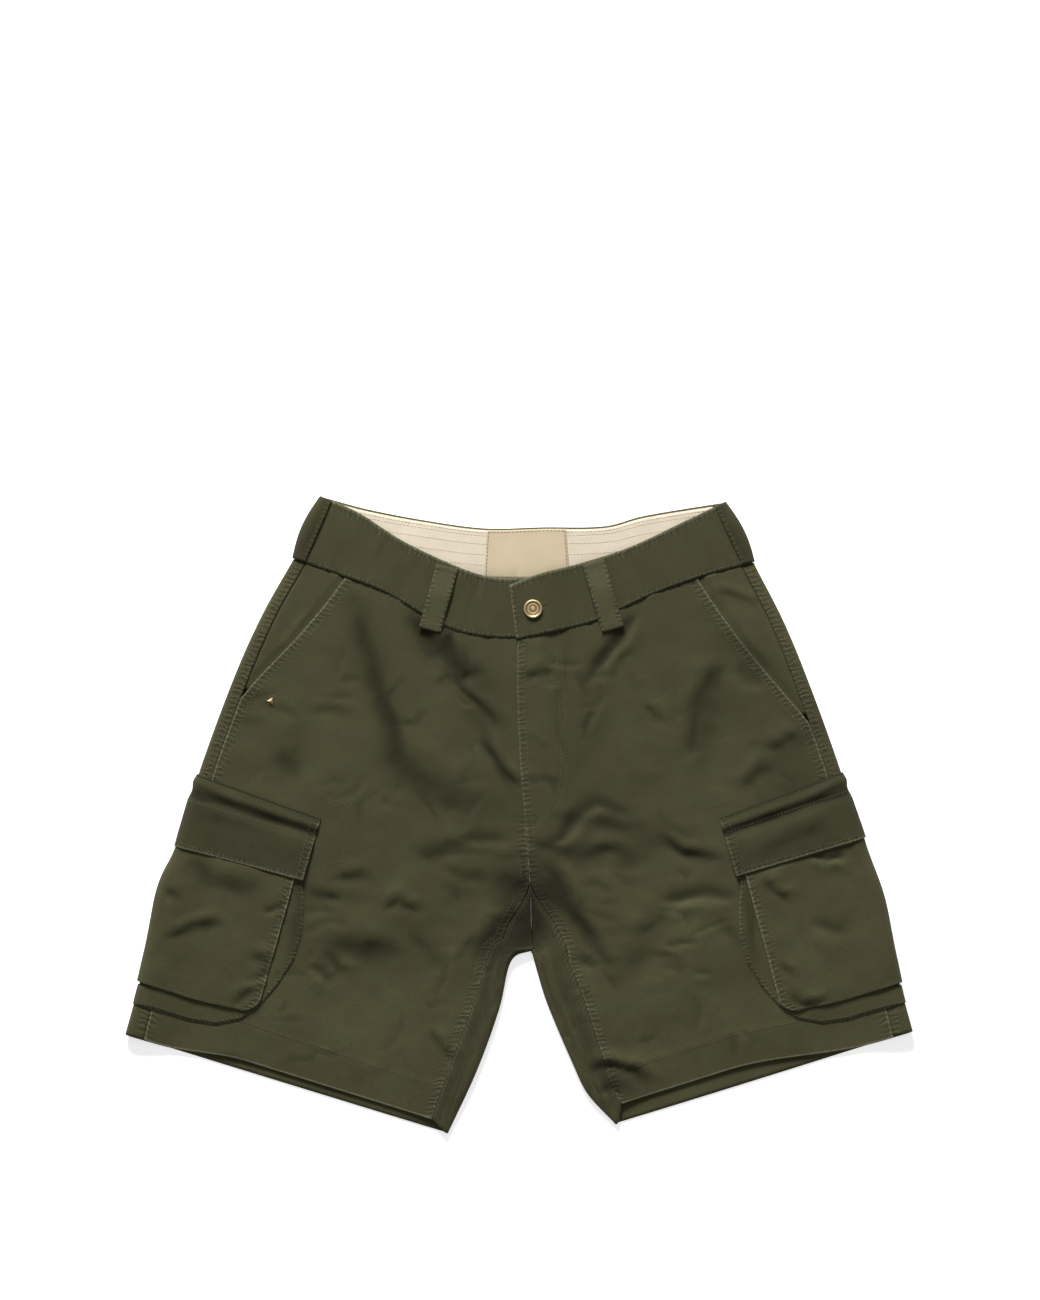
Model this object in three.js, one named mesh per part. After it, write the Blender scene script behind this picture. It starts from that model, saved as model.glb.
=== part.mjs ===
// Cargo shorts in cotton twill, laid flat with the front up. Millimetres: +X to the viewer's right,
// +Y towards the waist, +Z up from the surface that the shorts lie on.
import * as THREE from 'three';

// Sizes of the cloth and of the way it lies
const TWILL = 1.0; // panels, pockets and flaps
const BAND = 2.2; // the front waistband, which is four layers pressed together
const BACK_BAND = 1.2;
const LINING = 1.0;
const LOOP = 1.5;
const LABEL = 1.0;
const SEAM_GAP = 0.3; // between two pieces at a seam
const CROTCH_GAP = 0.7; // between the backs where their seam comes round the crotch
const LAYER = TWILL + 0.35; // from one layer's middle to the next one's
const PANEL_GAP = 4.5; // from the back's middle to the front's
const FOLD_RADIUS = 4.5; // the loop of cloth at the outer fold
const FOLD_RISE = 2 * FOLD_RADIUS - PANEL_GAP;
const LOOP_ARC = Math.PI * FOLD_RADIUS;
const LOOP_STEPS = 6;
const FOLD_REACH = 24; // how far from a fold the front comes down
const INNER_RISE = 3.0;
const INNER_REACH = 20;
const WAIST_RISE = 0.3; // the front panels come up to the waistband
const ROW_PITCH = 62; // usual distance between two section rows
const HEM_EXTRA = 0.8; // the hem's turned-up layer, inside

// Colours: the olive twill, the cream lining and label, and the worn metal
const OLIVE = 0x484633;
const CREAM = 0xd9cdb8;
const LABEL_CREAM = 0xd8cba0;
const METAL = 0x9a8f78;

// Section rows of each half, from the waist seam (t 0) to the hem (t 8). fold: the outer fold. end: the
// centre line down to the crotch (t 4), then the inner fold of the leg. seam: side seam from the outer
// fold. inseam: inseam from the row's end, on the front face.
const SECTIONS = {
  left: [
    { t: 0, foldX: -202, foldY: 229, endX: -1, endY: 157, seam: 11, inseam: 0 },
    { t: 1, foldX: -229, foldY: 181, endX: -1, endY: 102, seam: 11, inseam: 0 },
    { t: 2, foldX: -254, foldY: 126, endX: 2, endY: 38, seam: 12, inseam: 0 },
    { t: 3, foldX: -283, foldY: 48, endX: 10, endY: -59, seam: 12, inseam: 0 },
    { t: 4, foldX: -301, foldY: -12, endX: 12, endY: -122, seam: 13, inseam: 27 },
    { t: 5, foldX: -307, foldY: -34, endX: -7, endY: -132, seam: 14, inseam: 20 },
    { t: 6, foldX: -318, foldY: -74, endX: -18, endY: -176, seam: 15, inseam: 23 },
    { t: 7, foldX: -334, foldY: -130, endX: -38, endY: -231, seam: 15, inseam: 24 },
    { t: 8, foldX: -353, foldY: -198, endX: -64, endY: -287, seam: 17, inseam: 17 },
  ],
  right: [
    { t: 0, foldX: 211, foldY: 227, endX: -1, endY: 157, seam: 11, inseam: 0 },
    { t: 1, foldX: 239, foldY: 171, endX: -1, endY: 102, seam: 11, inseam: 0 },
    { t: 2, foldX: 263, foldY: 112, endX: 2, endY: 38, seam: 12, inseam: 0 },
    { t: 3, foldX: 287, foldY: 45, endX: 10, endY: -59, seam: 12, inseam: 0 },
    { t: 4, foldX: 305, foldY: -15, endX: 12, endY: -122, seam: 13, inseam: 29 },
    { t: 5, foldX: 311, foldY: -37, endX: 18, endY: -144, seam: 14, inseam: 30 },
    { t: 6, foldX: 323, foldY: -80, endX: 27, endY: -172, seam: 15, inseam: 32 },
    { t: 7, foldX: 337, foldY: -133, endX: 50, endY: -226, seam: 16, inseam: 27 },
    { t: 7.5, foldX: 345, foldY: -163, endX: 63, endY: -252, seam: 17, inseam: 22 },
    { t: 8, foldX: 354, foldY: -195, endX: 88, endY: -279, seam: 18, inseam: 14 },
  ],
};
const CROTCH_POINT = 3; // t where the front seam ends and the inseams begin
const CROTCH_FOLD = 4; // t where the back seam comes round from under the front
const HEM = 8;

// Cross-lines of the waistband, from its seam up to its top edge
const BAND_SECTIONS = {
  left: [
    { seamX: -201, seamY: 229, edgeX: -176, edgeY: 285 },
    { seamX: -166, seamY: 217, edgeX: -144, edgeY: 271 },
    { seamX: -121, seamY: 200, edgeX: -103, edgeY: 245 },
    { seamX: -64, seamY: 168, edgeX: -46, edgeY: 219 },
    { seamX: -22, seamY: 159, edgeX: -14, edgeY: 212 },
    { seamX: 20, seamY: 160, edgeX: 26, edgeY: 214 },
  ],
  right: [
    { seamX: 210, seamY: 226, edgeX: 184, edgeY: 280 },
    { seamX: 166, seamY: 214, edgeX: 147, edgeY: 262 },
    { seamX: 119, seamY: 197, edgeX: 100, edgeY: 240 },
    { seamX: 70, seamY: 174, edgeX: 54, edgeY: 225 },
    { seamX: 36, seamY: 165, edgeX: 22, edgeY: 217 },
    { seamX: -2, seamY: 157, edgeX: -8, edgeY: 206 },
  ],
  back: [
    { seamX: -201, seamY: 229, edgeX: -176, edgeY: 285 },
    { seamX: -150, seamY: 222, edgeX: -135, edgeY: 274 },
    { seamX: -92, seamY: 216, edgeX: -83, edgeY: 264 },
    { seamX: -33, seamY: 210, edgeX: -30, edgeY: 257 },
    { seamX: 24, seamY: 209, edgeX: 22, edgeY: 258 },
    { seamX: 84, seamY: 212, edgeX: 78, edgeY: 259 },
    { seamX: 124, seamY: 217, edgeX: 112, edgeY: 268 },
    { seamX: 210, seamY: 226, edgeX: 184, edgeY: 280 },
  ],
};
const BAND_MIDDLE = 5.4; // height of the front band's middle
const TAB_RISE = BAND + 0.4; // the buttoned tab lies on the other end
const TAB_REACH = 34;

// The slanted hip pocket: distance of its mouth from the outer fold, at the waist and where it ends
const HIP_POCKET = {
  left: { atWaist: 49, endT: 2.25 },
  right: { atWaist: 53, endT: 2.4 },
};
const MOUTH_BOW = 7.5; // the mouth isn't quite straight
const FACING_UNDER = 14; // how far the facing goes on under the front

// Cargo pockets, in section rows (t) down the leg and millimetres (s) across it from the fold's loop
const CARGO = {
  left: { flapTop: 3.18, flapEndOuter: 4.81, flapEndInner: 4.42, bottom: 7.31, gussetBottom: 7.6 },
  right: { flapTop: 3.12, flapEndOuter: 4.22, flapEndInner: 4.02, bottom: 7.31, gussetBottom: 7.6 },
};
const POCKET_BELOW_FLAP = 0.45; // the pocket's mouth, below the flap's seam, in rows
const POCKET_REACH = 104; // the pocket's front edge
const FLAP_REACH = 112;
const POCKET_UNDER = 72; // how far the pocket goes on under the leg
const FLAP_UNDER = 76;
const LIFT_STOPS = [FOLD_RADIUS, 44, 84, 98]; // across the underside: two cells lifted, one coming down
const POCKET_LOFT = [ // the pocket's middle above the leg's, across it
  { s: -80, loft: LAYER },
  { s: -20, loft: LAYER },
  { s: -14.2, loft: LAYER },
  { s: -11.5, loft: LAYER + 0.1 },
  { s: -7, loft: 3.6 },
  { s: -1, loft: 4.6 },
  { s: 35, loft: 4.3 },
  { s: 75, loft: 4.7 },
  { s: 98, loft: 4.0 },
  { s: 106, loft: 3.5 },
];
const POCKET_FILL = [ // share of that loft down the leg: on the front face, and round the fold of each leg
  { t: 3.4, face: 0, left: 0, right: 0 },
  { t: 4.0, face: 0.62, left: 0.1, right: 0.75 },
  { t: 4.5, face: 0.78, left: 0.1, right: 0.85 },
  { t: 5.1, face: 0.9, left: 0.25, right: 0.95 },
  { t: 5.6, face: 1, left: 0.9, right: 1 },
  { t: 6.6, face: 1, left: 1, right: 1 },
  { t: 7.4, face: 0.85, left: 0.7, right: 0.85 },
];
const POCKET_CORNER = { rows: 0.06, reach: 7 }; // how much the lower front corner is rounded off
const FLAP_ROLL = { middle: 7, width: 4.5, height: 2.4, valley: 15, pocket: 26 };
const GUSSET = [ // the bellows, from where it is sewn to the leg (t, s) to under the pocket's edge (inT, inS)
  { t: 4.05, s: 109, inT: 4.05, inS: 101 },
  { t: 4.6, s: 111, inT: 4.6, inS: 101 },
  { t: 5.2, s: 117, inT: 5.2, inS: 100 },
  { t: 5.8, s: 123, inT: 5.8, inS: 100 },
  { t: 6.3, s: 123, inT: 6.25, inS: 100 },
  { t: 6.75, s: 115, inT: 6.6, inS: 100 },
  { t: 7.1, s: 105, inT: 6.85, inS: 96 },
  { t: 7.38, s: 91, inT: 7.0, inS: 84 },
  { t: 7.54, s: 72, inT: 7.08, inS: 68 },
  { t: 7.6, s: 48, inT: 7.12, inS: 48 },
  { t: 7.6, s: 22, inT: 7.12, inS: 22 },
  { t: 7.6, s: 6, inT: 7.16, inS: 6 },
];
const GUSSET_UNDER = { t: 7.6, inT: 7.35 }; // and beside the pocket's lower edge, round the fold and under

// Belt loops on the front, by the middle of their lower and upper ends
const LOOPS = {
  left: { lowX: -79.7, lowY: 165.5, highX: -64, highY: 222.5, width: 20 },
  right: { lowX: 84.8, lowY: 166, highX: 67, highY: 227, width: 20 },
};
const LOOP_ARCH = 1.9;
const LABEL_PLACE = { fromX: -31, toX: 46, low: 0.06, high: 0.97 };
const BUTTON = { x: 13, y: 184.5, radius: 8.5 };
const RIVET = { x: -222.7, y: 101.8, radius: 4 }; // three-sided, one corner towards the side seam

// Largest folds of the front. Each is a trough from (x, y), turned by angle degrees, with a ridge on one
// side of it: side 1 is to the left of its direction, -1 to the right.
const FOLDS = [
  // from the left hip pocket down
  { x: -132, y: 132, angle: -72, length: 150, width: 13, depth: 1.5, side: 1 },
  { x: -84, y: 46, angle: -40, length: 105, width: 14, depth: 1.7, side: 1 },
  // from the left belt loop to the fly
  { x: -66, y: 138, angle: -55, length: 100, width: 11, depth: 1.9, side: 1 },
  { x: -36, y: -19, angle: -2, length: 84, width: 10, depth: 1.2, side: -1 }, // left of the fly's end
  { x: -140, y: -122, angle: -8, length: 100, width: 20, depth: 1.8, side: 1 }, // across the left thigh
  { x: 84, y: 146, angle: 236, length: 100, width: 11, depth: 1.9, side: 1 }, // from the right belt loop
  { x: 165, y: 90, angle: 255, length: 120, width: 12, depth: 1.5, side: -1 },
  { x: 60, y: -8, angle: 24, length: 100, width: 12, depth: 2.2, side: 1 }, // up from the fly's end
  { x: 52, y: -78, angle: -55, length: 90, width: 10, depth: 1.9, side: 1 }, // down beside the right inseam
  { x: 138, y: -77, angle: 0, length: 96, width: 11, depth: 1.7, side: -1 }, // to the right cargo pocket
  { x: -20, y: -94, angle: 215, length: 90, width: 12, depth: 1.8, side: -1 }, // across the left crotch
];

const clamp = THREE.MathUtils.clamp;
const lerp = THREE.MathUtils.lerp;
const bell = (x) => Math.exp(-x * x);
const ramp = (x, from, to) => THREE.MathUtils.smoothstep(x, from, to);
const facing = { left: -1, right: 1 };

// Smooth curve through a table's rows, with straight ends
function through(table, from, to, x) {
  const rows = table[0][from] < table.at(-1)[from] ? table : [...table].reverse();
  const last = rows.length - 1;
  const slope = (i, j) => (rows[j][to] - rows[i][to]) / (rows[j][from] - rows[i][from]);
  if (x <= rows[0][from]) return rows[0][to] + slope(0, 1) * (x - rows[0][from]);
  if (x >= rows[last][from]) return rows[last][to] + slope(last - 1, last) * (x - rows[last][from]);
  const i = rows.findIndex((row, k) => k < last && x < rows[k + 1][from]);
  const span = rows[i + 1][from] - rows[i][from];
  const f = (x - rows[i][from]) / span;
  const m0 = span * slope(Math.max(i - 1, 0), i + 1);
  const m1 = span * slope(i, Math.min(i + 2, last));
  return (1 + 2 * f) * (1 - f) ** 2 * rows[i][to] + f * (1 - f) ** 2 * m0
    + f * f * (3 - 2 * f) * rows[i + 1][to] + f * f * (f - 1) * m1;
}

// One row of a half: its outer fold, its direction across the leg and its length. The line of its ends has
// a corner at the crotch, so it is two curves.
function section(side, t) {
  const rows = SECTIONS[side];
  const ends = rows.filter((row) => (t <= CROTCH_FOLD ? row.t <= CROTCH_FOLD : row.t >= CROTCH_FOLD));
  const fold = new THREE.Vector2(through(rows, 't', 'foldX', t), through(rows, 't', 'foldY', t));
  const end = new THREE.Vector2(through(ends, 't', 'endX', t), through(ends, 't', 'endY', t));
  const across = end.clone().sub(fold);
  const length = across.length();
  return { fold, end, across: across.divideScalar(length), length };
}

// Point of a half in plan, w millimetres across from the outer fold
function plan(side, t, w) {
  const { fold, across } = section(side, t);
  return fold.addScaledVector(across, w);
}

// How far a point near the waist is moved along Y, so that the first row follows the waistband's seam
function waistDip(band, side, x, t) {
  const top = section(side, 0);
  const straight = top.fold.y + (x - top.fold.x) * (top.across.y / top.across.x);
  const dip = through(BAND_SECTIONS[band], 'seamX', 'seamY', x) - SEAM_GAP - straight;
  return dip * Math.max(0, 1 - Math.max(t, 0)) ** 2;
}

function frontPlan(side, t, w) {
  const p = plan(side, t, w);
  p.y += waistDip(side, side, p.x, t);
  return p;
}

function foldHeight(x, y) {
  let sum = 0;
  for (const f of FOLDS) {
    const a = THREE.MathUtils.degToRad(f.angle);
    const along = (x - f.x) * Math.cos(a) + (y - f.y) * Math.sin(a);
    const beside = (y - f.y) * Math.cos(a) - (x - f.x) * Math.sin(a);
    const fade = 1 - (2 * along / f.length) ** 2;
    if (fade <= 0) continue;
    const ridge = 0.9 * bell((beside * f.side - 1.7 * f.width) / (1.2 * f.width));
    sum += f.depth * fade * (ridge - bell(beside / f.width));
  }
  return sum;
}

// How far the back is lifted off the surface by the pocket and flap that lie under it, and the front,
// more gently, with it
function lift(side, t, w) {
  const c = CARGO[side];
  const rows = (to) => ramp(t, c.flapTop - 0.41, c.flapTop - 0.1) * (1 - ramp(t, to + 0.14, to + 0.4));
  return LAYER * (rows(c.gussetBottom) + rows(c.flapEndOuter)) * (1 - ramp(w, LIFT_STOPS[2], LIFT_STOPS[3]));
}
function frontLift(side, t, w) {
  const c = CARGO[side];
  const rows = (to) => ramp(t, c.flapTop - 0.9, c.flapTop) * (1 - ramp(t, to, to + 1.2));
  return LAYER * (rows(c.gussetBottom) + rows(c.flapEndOuter)) * (1 - ramp(w, 40, 150));
}

const backHeight = (side, t, w) => TWILL / 2 + lift(side, t, w);

// Height of the front face's middle
function frontHeight(side, t, w) {
  const { length } = section(side, t);
  const p = frontPlan(side, t, w);
  const calm = ramp(w, FOLD_RADIUS, FOLD_RADIUS + 30) * ramp(t, 0.15, 0.6);
  const inner = ramp(t, 3.7, 4.7) * INNER_RISE * bell((length - FOLD_RADIUS - w) / INNER_REACH);
  const rise = FOLD_RISE * (0.1 + 0.9 * ramp(t, 0, 1.4));
  const roll = rise * bell(Math.max(0, w - FOLD_RADIUS) / FOLD_REACH);
  const waist = WAIST_RISE * bell(Math.max(t, 0) / 0.5);
  return TWILL / 2 + frontLift(side, t, w) + PANEL_GAP + roll + waist + inner + foldHeight(p.x, p.y) * calm;
}

// Point on the cloth of a half. s runs over the front face from the outer fold's loop, and below 0 round
// the loop and on under the garment. out moves the point away from the cloth.
function ring(side, t, s, out = 0) {
  const low = backHeight(side, t, FOLD_RADIUS);
  const radius = (frontHeight(side, t, FOLD_RADIUS) - low) / 2;
  if (s >= 0) {
    const w = FOLD_RADIUS + s;
    const p = frontPlan(side, t, w);
    return new THREE.Vector3(p.x, p.y, frontHeight(side, t, w) + out);
  }
  if (s > -LOOP_ARC) {
    const turn = Math.PI * -s / LOOP_ARC;
    const p = plan(side, t, FOLD_RADIUS - (FOLD_RADIUS + out) * Math.sin(turn));
    p.y += waistDip(side, side, p.x, t);
    return new THREE.Vector3(p.x, p.y, low + radius + (radius + out) * Math.cos(turn));
  }
  const w = FOLD_RADIUS - LOOP_ARC - s;
  const p = plan(side, t, w);
  return new THREE.Vector3(p.x, p.y, backHeight(side, t, w) - out);
}

// Bend between the two triangles of a cell that is cut from a to c
function bend(points, a, b, c, d) {
  const cut = points[c].clone().sub(points[a]);
  const one = points[b].clone().sub(points[a]).cross(cut);
  const other = cut.clone().cross(points[d].clone().sub(points[a]));
  return one.angleTo(other);
}

// A closed wall of cloth. place(row, column) gives a point of its middle; each point is pushed half the
// thickness to both sides, and the rim is closed. keep says which cells are cloth.
function wall(rows, columns, thickness, place, keep = () => true) {
  const middle = [];
  const half = [];
  const index = new Map();
  const at = (i, j) => {
    const key = i * (columns + 1) + j;
    if (!index.has(key)) {
      index.set(key, middle.length);
      middle.push(place(i, j));
      half.push((typeof thickness === 'function' ? thickness(i, j) : thickness) / 2);
    }
    return index.get(key);
  };
  const cells = [];
  for (let i = 0; i < rows; i++) {
    for (let j = 0; j < columns; j++) {
      if (keep(i, j)) cells.push([at(i, j), at(i + 1, j), at(i + 1, j + 1), at(i, j + 1)]);
    }
  }
  const normals = middle.map(() => new THREE.Vector3());
  for (const [a, b, c, d] of cells) {
    const across = middle[c].clone().sub(middle[a]);
    const normal = across.cross(middle[d].clone().sub(middle[b]));
    for (const k of [a, b, c, d]) normals[k].add(normal);
  }
  const count = middle.length;
  const points = [];
  for (const sign of [1, -1]) {
    middle.forEach((p, k) => {
      points.push(...p.clone().addScaledVector(normals[k].clone().normalize(), sign * half[k]));
    });
  }
  const faces = [];
  const quad = (a, b, c, d) => faces.push(a, b, c, a, c, d);
  const rim = new Map();
  for (const [a, b, c, d] of cells) {
    // Both faces are cut along the diagonal that bends least
    if (bend(middle, a, b, c, d) <= bend(middle, b, c, d, a)) {
      quad(a, b, c, d);
      quad(a + count, d + count, c + count, b + count);
    } else {
      quad(b, c, d, a);
      quad(b + count, a + count, d + count, c + count);
    }
    for (const [from, to] of [[a, b], [b, c], [c, d], [d, a]]) {
      if (!rim.delete(`${to},${from}`)) rim.set(`${from},${to}`, [from, to]);
    }
  }
  for (const [from, to] of rim.values()) quad(to, from, from + count, to + count);
  const geometry = new THREE.BufferGeometry();
  geometry.setAttribute('position', new THREE.Float32BufferAttribute(points, 3));
  geometry.setIndex(faces);
  return geometry;
}

const shorts = new THREE.Group();
shorts.name = 'cargo_shorts';

function add(name, geometry, color, roughness = 0.9, metalness = 0) {
  geometry.computeVertexNormals();
  const mesh = new THREE.Mesh(geometry, new THREE.MeshStandardMaterial({ color, roughness, metalness }));
  mesh.name = name;
  shorts.add(mesh);
  return mesh;
}

const seamS = (side, t) => through(SECTIONS[side], 't', 'seam', t) - FOLD_RADIUS;
const inseamIn = (side, t) => (t <= CROTCH_POINT ? 0 : through(SECTIONS[side], 't', 'inseam', t));
function mouthS(side, t) {
  const { atWaist, endT } = HIP_POCKET[side];
  const bow = MOUTH_BOW * Math.sin(Math.PI * clamp(t / endT, 0, 1));
  return lerp(atWaist, seamS(side, 2) + FOLD_RADIUS, t / endT) + bow - FOLD_RADIUS;
}

// Lines of cells down a half: where line i starts at the outer fold and where it ends at the inseam. The
// front's hem lies a little above the back's, more so towards the inside of the leg.
const LINES = 28;
const CROTCH_LINE = 13;
const HEM_SHORT = { left: { by: 8, reached: 0.35 }, right: { by: 15, reached: 0.6 } };
const lineT = (i) => (i <= CROTCH_LINE
  ? CROTCH_FOLD * i / CROTCH_LINE
  : lerp(CROTCH_FOLD, HEM, (i - CROTCH_LINE) / (LINES - CROTCH_LINE)));
function hemCut(side, u, t) {
  const { by, reached } = HEM_SHORT[side];
  return by / ROW_PITCH * ramp(u, 0.05, reached) * Math.max(0, (t - 6) / 2);
}
function frontT(side, i, u) {
  const t = lineT(i);
  const below = t - Math.max(0, 1 - (t - CROTCH_FOLD) / 1.5);
  const atSeam = i <= CROTCH_LINE ? CROTCH_POINT * i / CROTCH_LINE : below;
  return lerp(t, atSeam, u) - hemCut(side, u, t);
}
const hemExtra = (i) => (i >= LINES - 2 ? HEM_EXTRA : 0);

// How far the right front rises to lie on the left one along the fly, which closes at FLY_END
const FLY_END = 2.75;
const FLY_UNDER = 14;
function flyRise(fromCentre, t) {
  const across = 1 - ramp(fromCentre, FLY_UNDER + 5, FLY_UNDER + 22);
  return 1.7 * LAYER * across * (1 - ramp(t, FLY_END - 0.1, FLY_END + 0.25));
}

function front(side) {
  const columns = 16;
  const right = side === 'right';
  return wall(LINES, columns, (i) => TWILL + hemExtra(i), (i, j) => {
    const u = j / columns;
    const t = frontT(side, i, u);
    const { length } = section(side, t);
    const from = Math.max(seamS(side, t), mouthS(side, t)) + SEAM_GAP / 2;
    const under = right ? 0 : FLY_UNDER * (1 - ramp(t, FLY_END - 0.5, FLY_END - 0.2));
    const to = length - FOLD_RADIUS - SEAM_GAP / 2 - inseamIn(side, t) + under;
    const s = lerp(from, to, u);
    const p = ring(side, t, s, -hemExtra(i) / 2);
    if (right) p.z += flyRise(length - FOLD_RADIUS - s, t);
    return p;
  });
}

// The back goes from the side seam round the outer fold and under the garment to the centre seam. Below
// the crotch it comes round the inner fold too, up to the inseam.
function back(side) {
  const outer = [1, 0.45, 0]; // shares of the strip between side seam and loop
  const under = 8;
  const innerSteps = 5;
  const stripSteps = 3;
  const firstUnder = outer.length - 1 + LOOP_STEPS;
  const firstInner = firstUnder + under;
  const columns = firstInner + innerSteps + stripSteps;
  const aboveFront = 0.93; // the back's waist seam is this many rows higher than the front's at the centre
  const sign = -facing[side];
  const notch = new THREE.Vector2(-0.45, -0.9).normalize();
  const underT = (i, u) => (i <= CROTCH_LINE
    ? lerp(-aboveFront * u, CROTCH_FOLD, i / CROTCH_LINE)
    : lineT(i));

  // Distance from the outer fold of column k under the garment
  function underW(k, edge) {
    if (k < LIFT_STOPS.length) return LIFT_STOPS[k];
    return lerp(LIFT_STOPS.at(-1), edge, (k + 1 - LIFT_STOPS.length) / (under + 1 - LIFT_STOPS.length));
  }

  function innerFold(t) {
    const step = 0.05;
    const here = section(side, t).end;
    const after = section(side, Math.max(t, CROTCH_FOLD) + step).end;
    const run = after.sub(section(side, Math.max(t - step, CROTCH_FOLD + 1e-4)).end);
    const outward = new THREE.Vector2(-run.y, run.x).multiplyScalar(sign).normalize();
    outward.lerp(notch, 1 - ramp(t, CROTCH_FOLD, CROTCH_FOLD + 0.9)).normalize();
    return { here, outward };
  }

  return wall(LINES, columns, (i) => TWILL + hemExtra(i), (i, j) => {
    const inwards = -hemExtra(i) / 2;
    if (j <= firstUnder) {
      const t = lineT(i);
      if (j < outer.length) return ring(side, t, (seamS(side, t) - SEAM_GAP / 2) * outer[j], inwards);
      return ring(side, t, -LOOP_ARC * (j - outer.length + 1) / LOOP_STEPS, inwards);
    }
    const apart = i === CROTCH_LINE ? facing[side] * CROTCH_GAP / 2 : 0;
    if (j <= firstInner) {
      const u = (j - firstUnder) / under;
      const t = underT(i, u);
      const { length } = section(side, t);
      const w = underW(j - firstUnder, length - (i < CROTCH_LINE ? SEAM_GAP / 2 : 0));
      const p = plan(side, t, w);
      const top = plan(side, underT(0, u), w);
      const dip = through(BAND_SECTIONS.back, 'seamX', 'seamY', top.x) - SEAM_GAP - top.y;
      p.y += dip * Math.max(0, 1 - i / CROTCH_LINE) ** 3;
      if (i >= CROTCH_LINE) p.addScaledVector(innerFold(t).outward, -innerRadius(side, t) * u ** 3);
      return new THREE.Vector3(p.x + apart * u, p.y, backHeight(side, t, w) - inwards);
    }
    const t = lineT(i);
    const { here, outward } = innerFold(t);
    const radius = innerRadius(side, t);
    if (j <= firstInner + innerSteps) {
      const turn = Math.PI * (j - firstInner) / innerSteps;
      const p = here.addScaledVector(outward, (radius + inwards) * Math.sin(turn) - radius);
      return new THREE.Vector3(p.x + apart, p.y, TWILL / 2 + radius - (radius + inwards) * Math.cos(turn));
    }
    const k = (j - firstInner - innerSteps) / stripSteps;
    const seamT = i === CROTCH_LINE ? CROTCH_POINT + 0.03 : frontT(side, i, 1);
    const stripT = lerp(t, seamT, k);
    const inset = lerp(radius, Math.max(inseamIn(side, seamT) - SEAM_GAP / 2, 0), k);
    const w = section(side, stripT).length - inset;
    const p = plan(side, stripT, w);
    p.lerp(here.addScaledVector(outward, -radius), (1 - k) ** 2);
    return new THREE.Vector3(p.x + apart, p.y, frontHeight(side, stripT, w) + inwards);
  }, (i, j) => j < firstInner || i >= CROTCH_LINE);
}
function innerRadius(side, t) {
  return (frontHeight(side, t, section(side, t).length - FOLD_RADIUS) - TWILL / 2) / 2;
}

// What shows of the hip pocket behind its slanted mouth, one layer under the front
function hipFacing(side) {
  const rows = 8;
  const columns = 4;
  return wall(rows, columns, TWILL, (i, j) => {
    const t = lerp(0, HIP_POCKET[side].endT - 0.12, i / rows);
    return ring(side, t, lerp(seamS(side, t) - 3, mouthS(side, t) + FACING_UNDER, j / columns), -LAYER);
  });
}

// The pocket's middle above the leg's
function pocketOut(side, t, s) {
  const at = (place) => clamp(through(POCKET_FILL, 't', place, clamp(t, 3.4, 7.4)), 0, 1);
  const fill = lerp(at(side), at('face'), ramp(s, 5, 55));
  return lerp(LAYER, through(POCKET_LOFT, 's', 'loft', clamp(s, -80, 106)), fill);
}

// Distances across a pocket or flap: over the front face, round the loop and under the leg
const FRONT_STOPS = [90, 75, 56, 37, 18];
function acrossStops(frontStops, under) {
  const stops = [...frontStops];
  for (let k = 0; k <= LOOP_STEPS; k++) stops.push(-LOOP_ARC * k / LOOP_STEPS);
  stops.push(FOLD_RADIUS - LOOP_ARC - LIFT_STOPS[1], FOLD_RADIUS - LOOP_ARC - under);
  return stops;
}

function cargoPocket(side) {
  const c = CARGO[side];
  const stops = acrossStops([POCKET_REACH, ...FRONT_STOPS], POCKET_UNDER);
  const mouth = c.flapTop + POCKET_BELOW_FLAP;
  const lines = [mouth];
  for (let i = 0; i < LINES; i++) {
    if (lineT(i) > mouth + 0.04 && lineT(i) < c.bottom - 0.04) lines.push(lineT(i));
  }
  lines.push(c.bottom);
  return wall(lines.length - 1, stops.length - 1, TWILL, (i, j) => {
    const corner = ramp(lines[i], c.bottom - 0.5, c.bottom);
    const s = stops[j] - (j === 0 ? POCKET_CORNER.reach * corner : 0);
    const t = lines[i] - POCKET_CORNER.rows * corner * ramp(s, 40, POCKET_REACH - POCKET_CORNER.reach);
    return ring(side, t, s, pocketOut(side, t, s));
  });
}

// The bellows comes out from under the pocket's front and lower edges and is sewn to the leg
function cargoGusset(side) {
  const rows = [...GUSSET, ...acrossStops([], POCKET_UNDER).map((s) => ({ ...GUSSET_UNDER, s, inS: s }))];
  return wall(rows.length - 1, 2, TWILL, (i, j) => {
    const g = rows[i];
    return ring(side, lerp(g.t, g.inT, j / 2), lerp(g.s, g.inS, j / 2), LAYER);
  });
}

function cargoFlap(side) {
  const c = CARGO[side];
  const stops = acrossStops([FLAP_REACH, POCKET_REACH, ...FRONT_STOPS], FLAP_UNDER);
  const down = [0, 0.07, 0.15, 0.24, 0.34, 0.45, 0.62, 0.81, 1];
  return wall(down.length - 1, stops.length - 1, TWILL, (i, j) => {
    const s = stops[j];
    const end = lerp(c.flapEndOuter, c.flapEndInner, clamp(s / FLAP_REACH, 0, 1));
    const t = lerp(c.flapTop, end, down[i]);
    const below = (Math.min(t, CROTCH_FOLD) - c.flapTop) * ROW_PITCH + Math.max(0, t - CROTCH_FOLD) * 23;
    const roll = FLAP_ROLL.height * bell((below - FLAP_ROLL.middle) / FLAP_ROLL.width) * ramp(s, -14, -4);
    const onPocket = ramp(below, FLAP_ROLL.valley, FLAP_ROLL.pocket);
    const above = pocketOut(side, t, Math.min(s, POCKET_REACH)) + LAYER + 0.4 * ramp(s, -14, -4);
    return ring(side, t, s, lerp(LAYER + roll, above, onPocket));
  });
}

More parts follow.
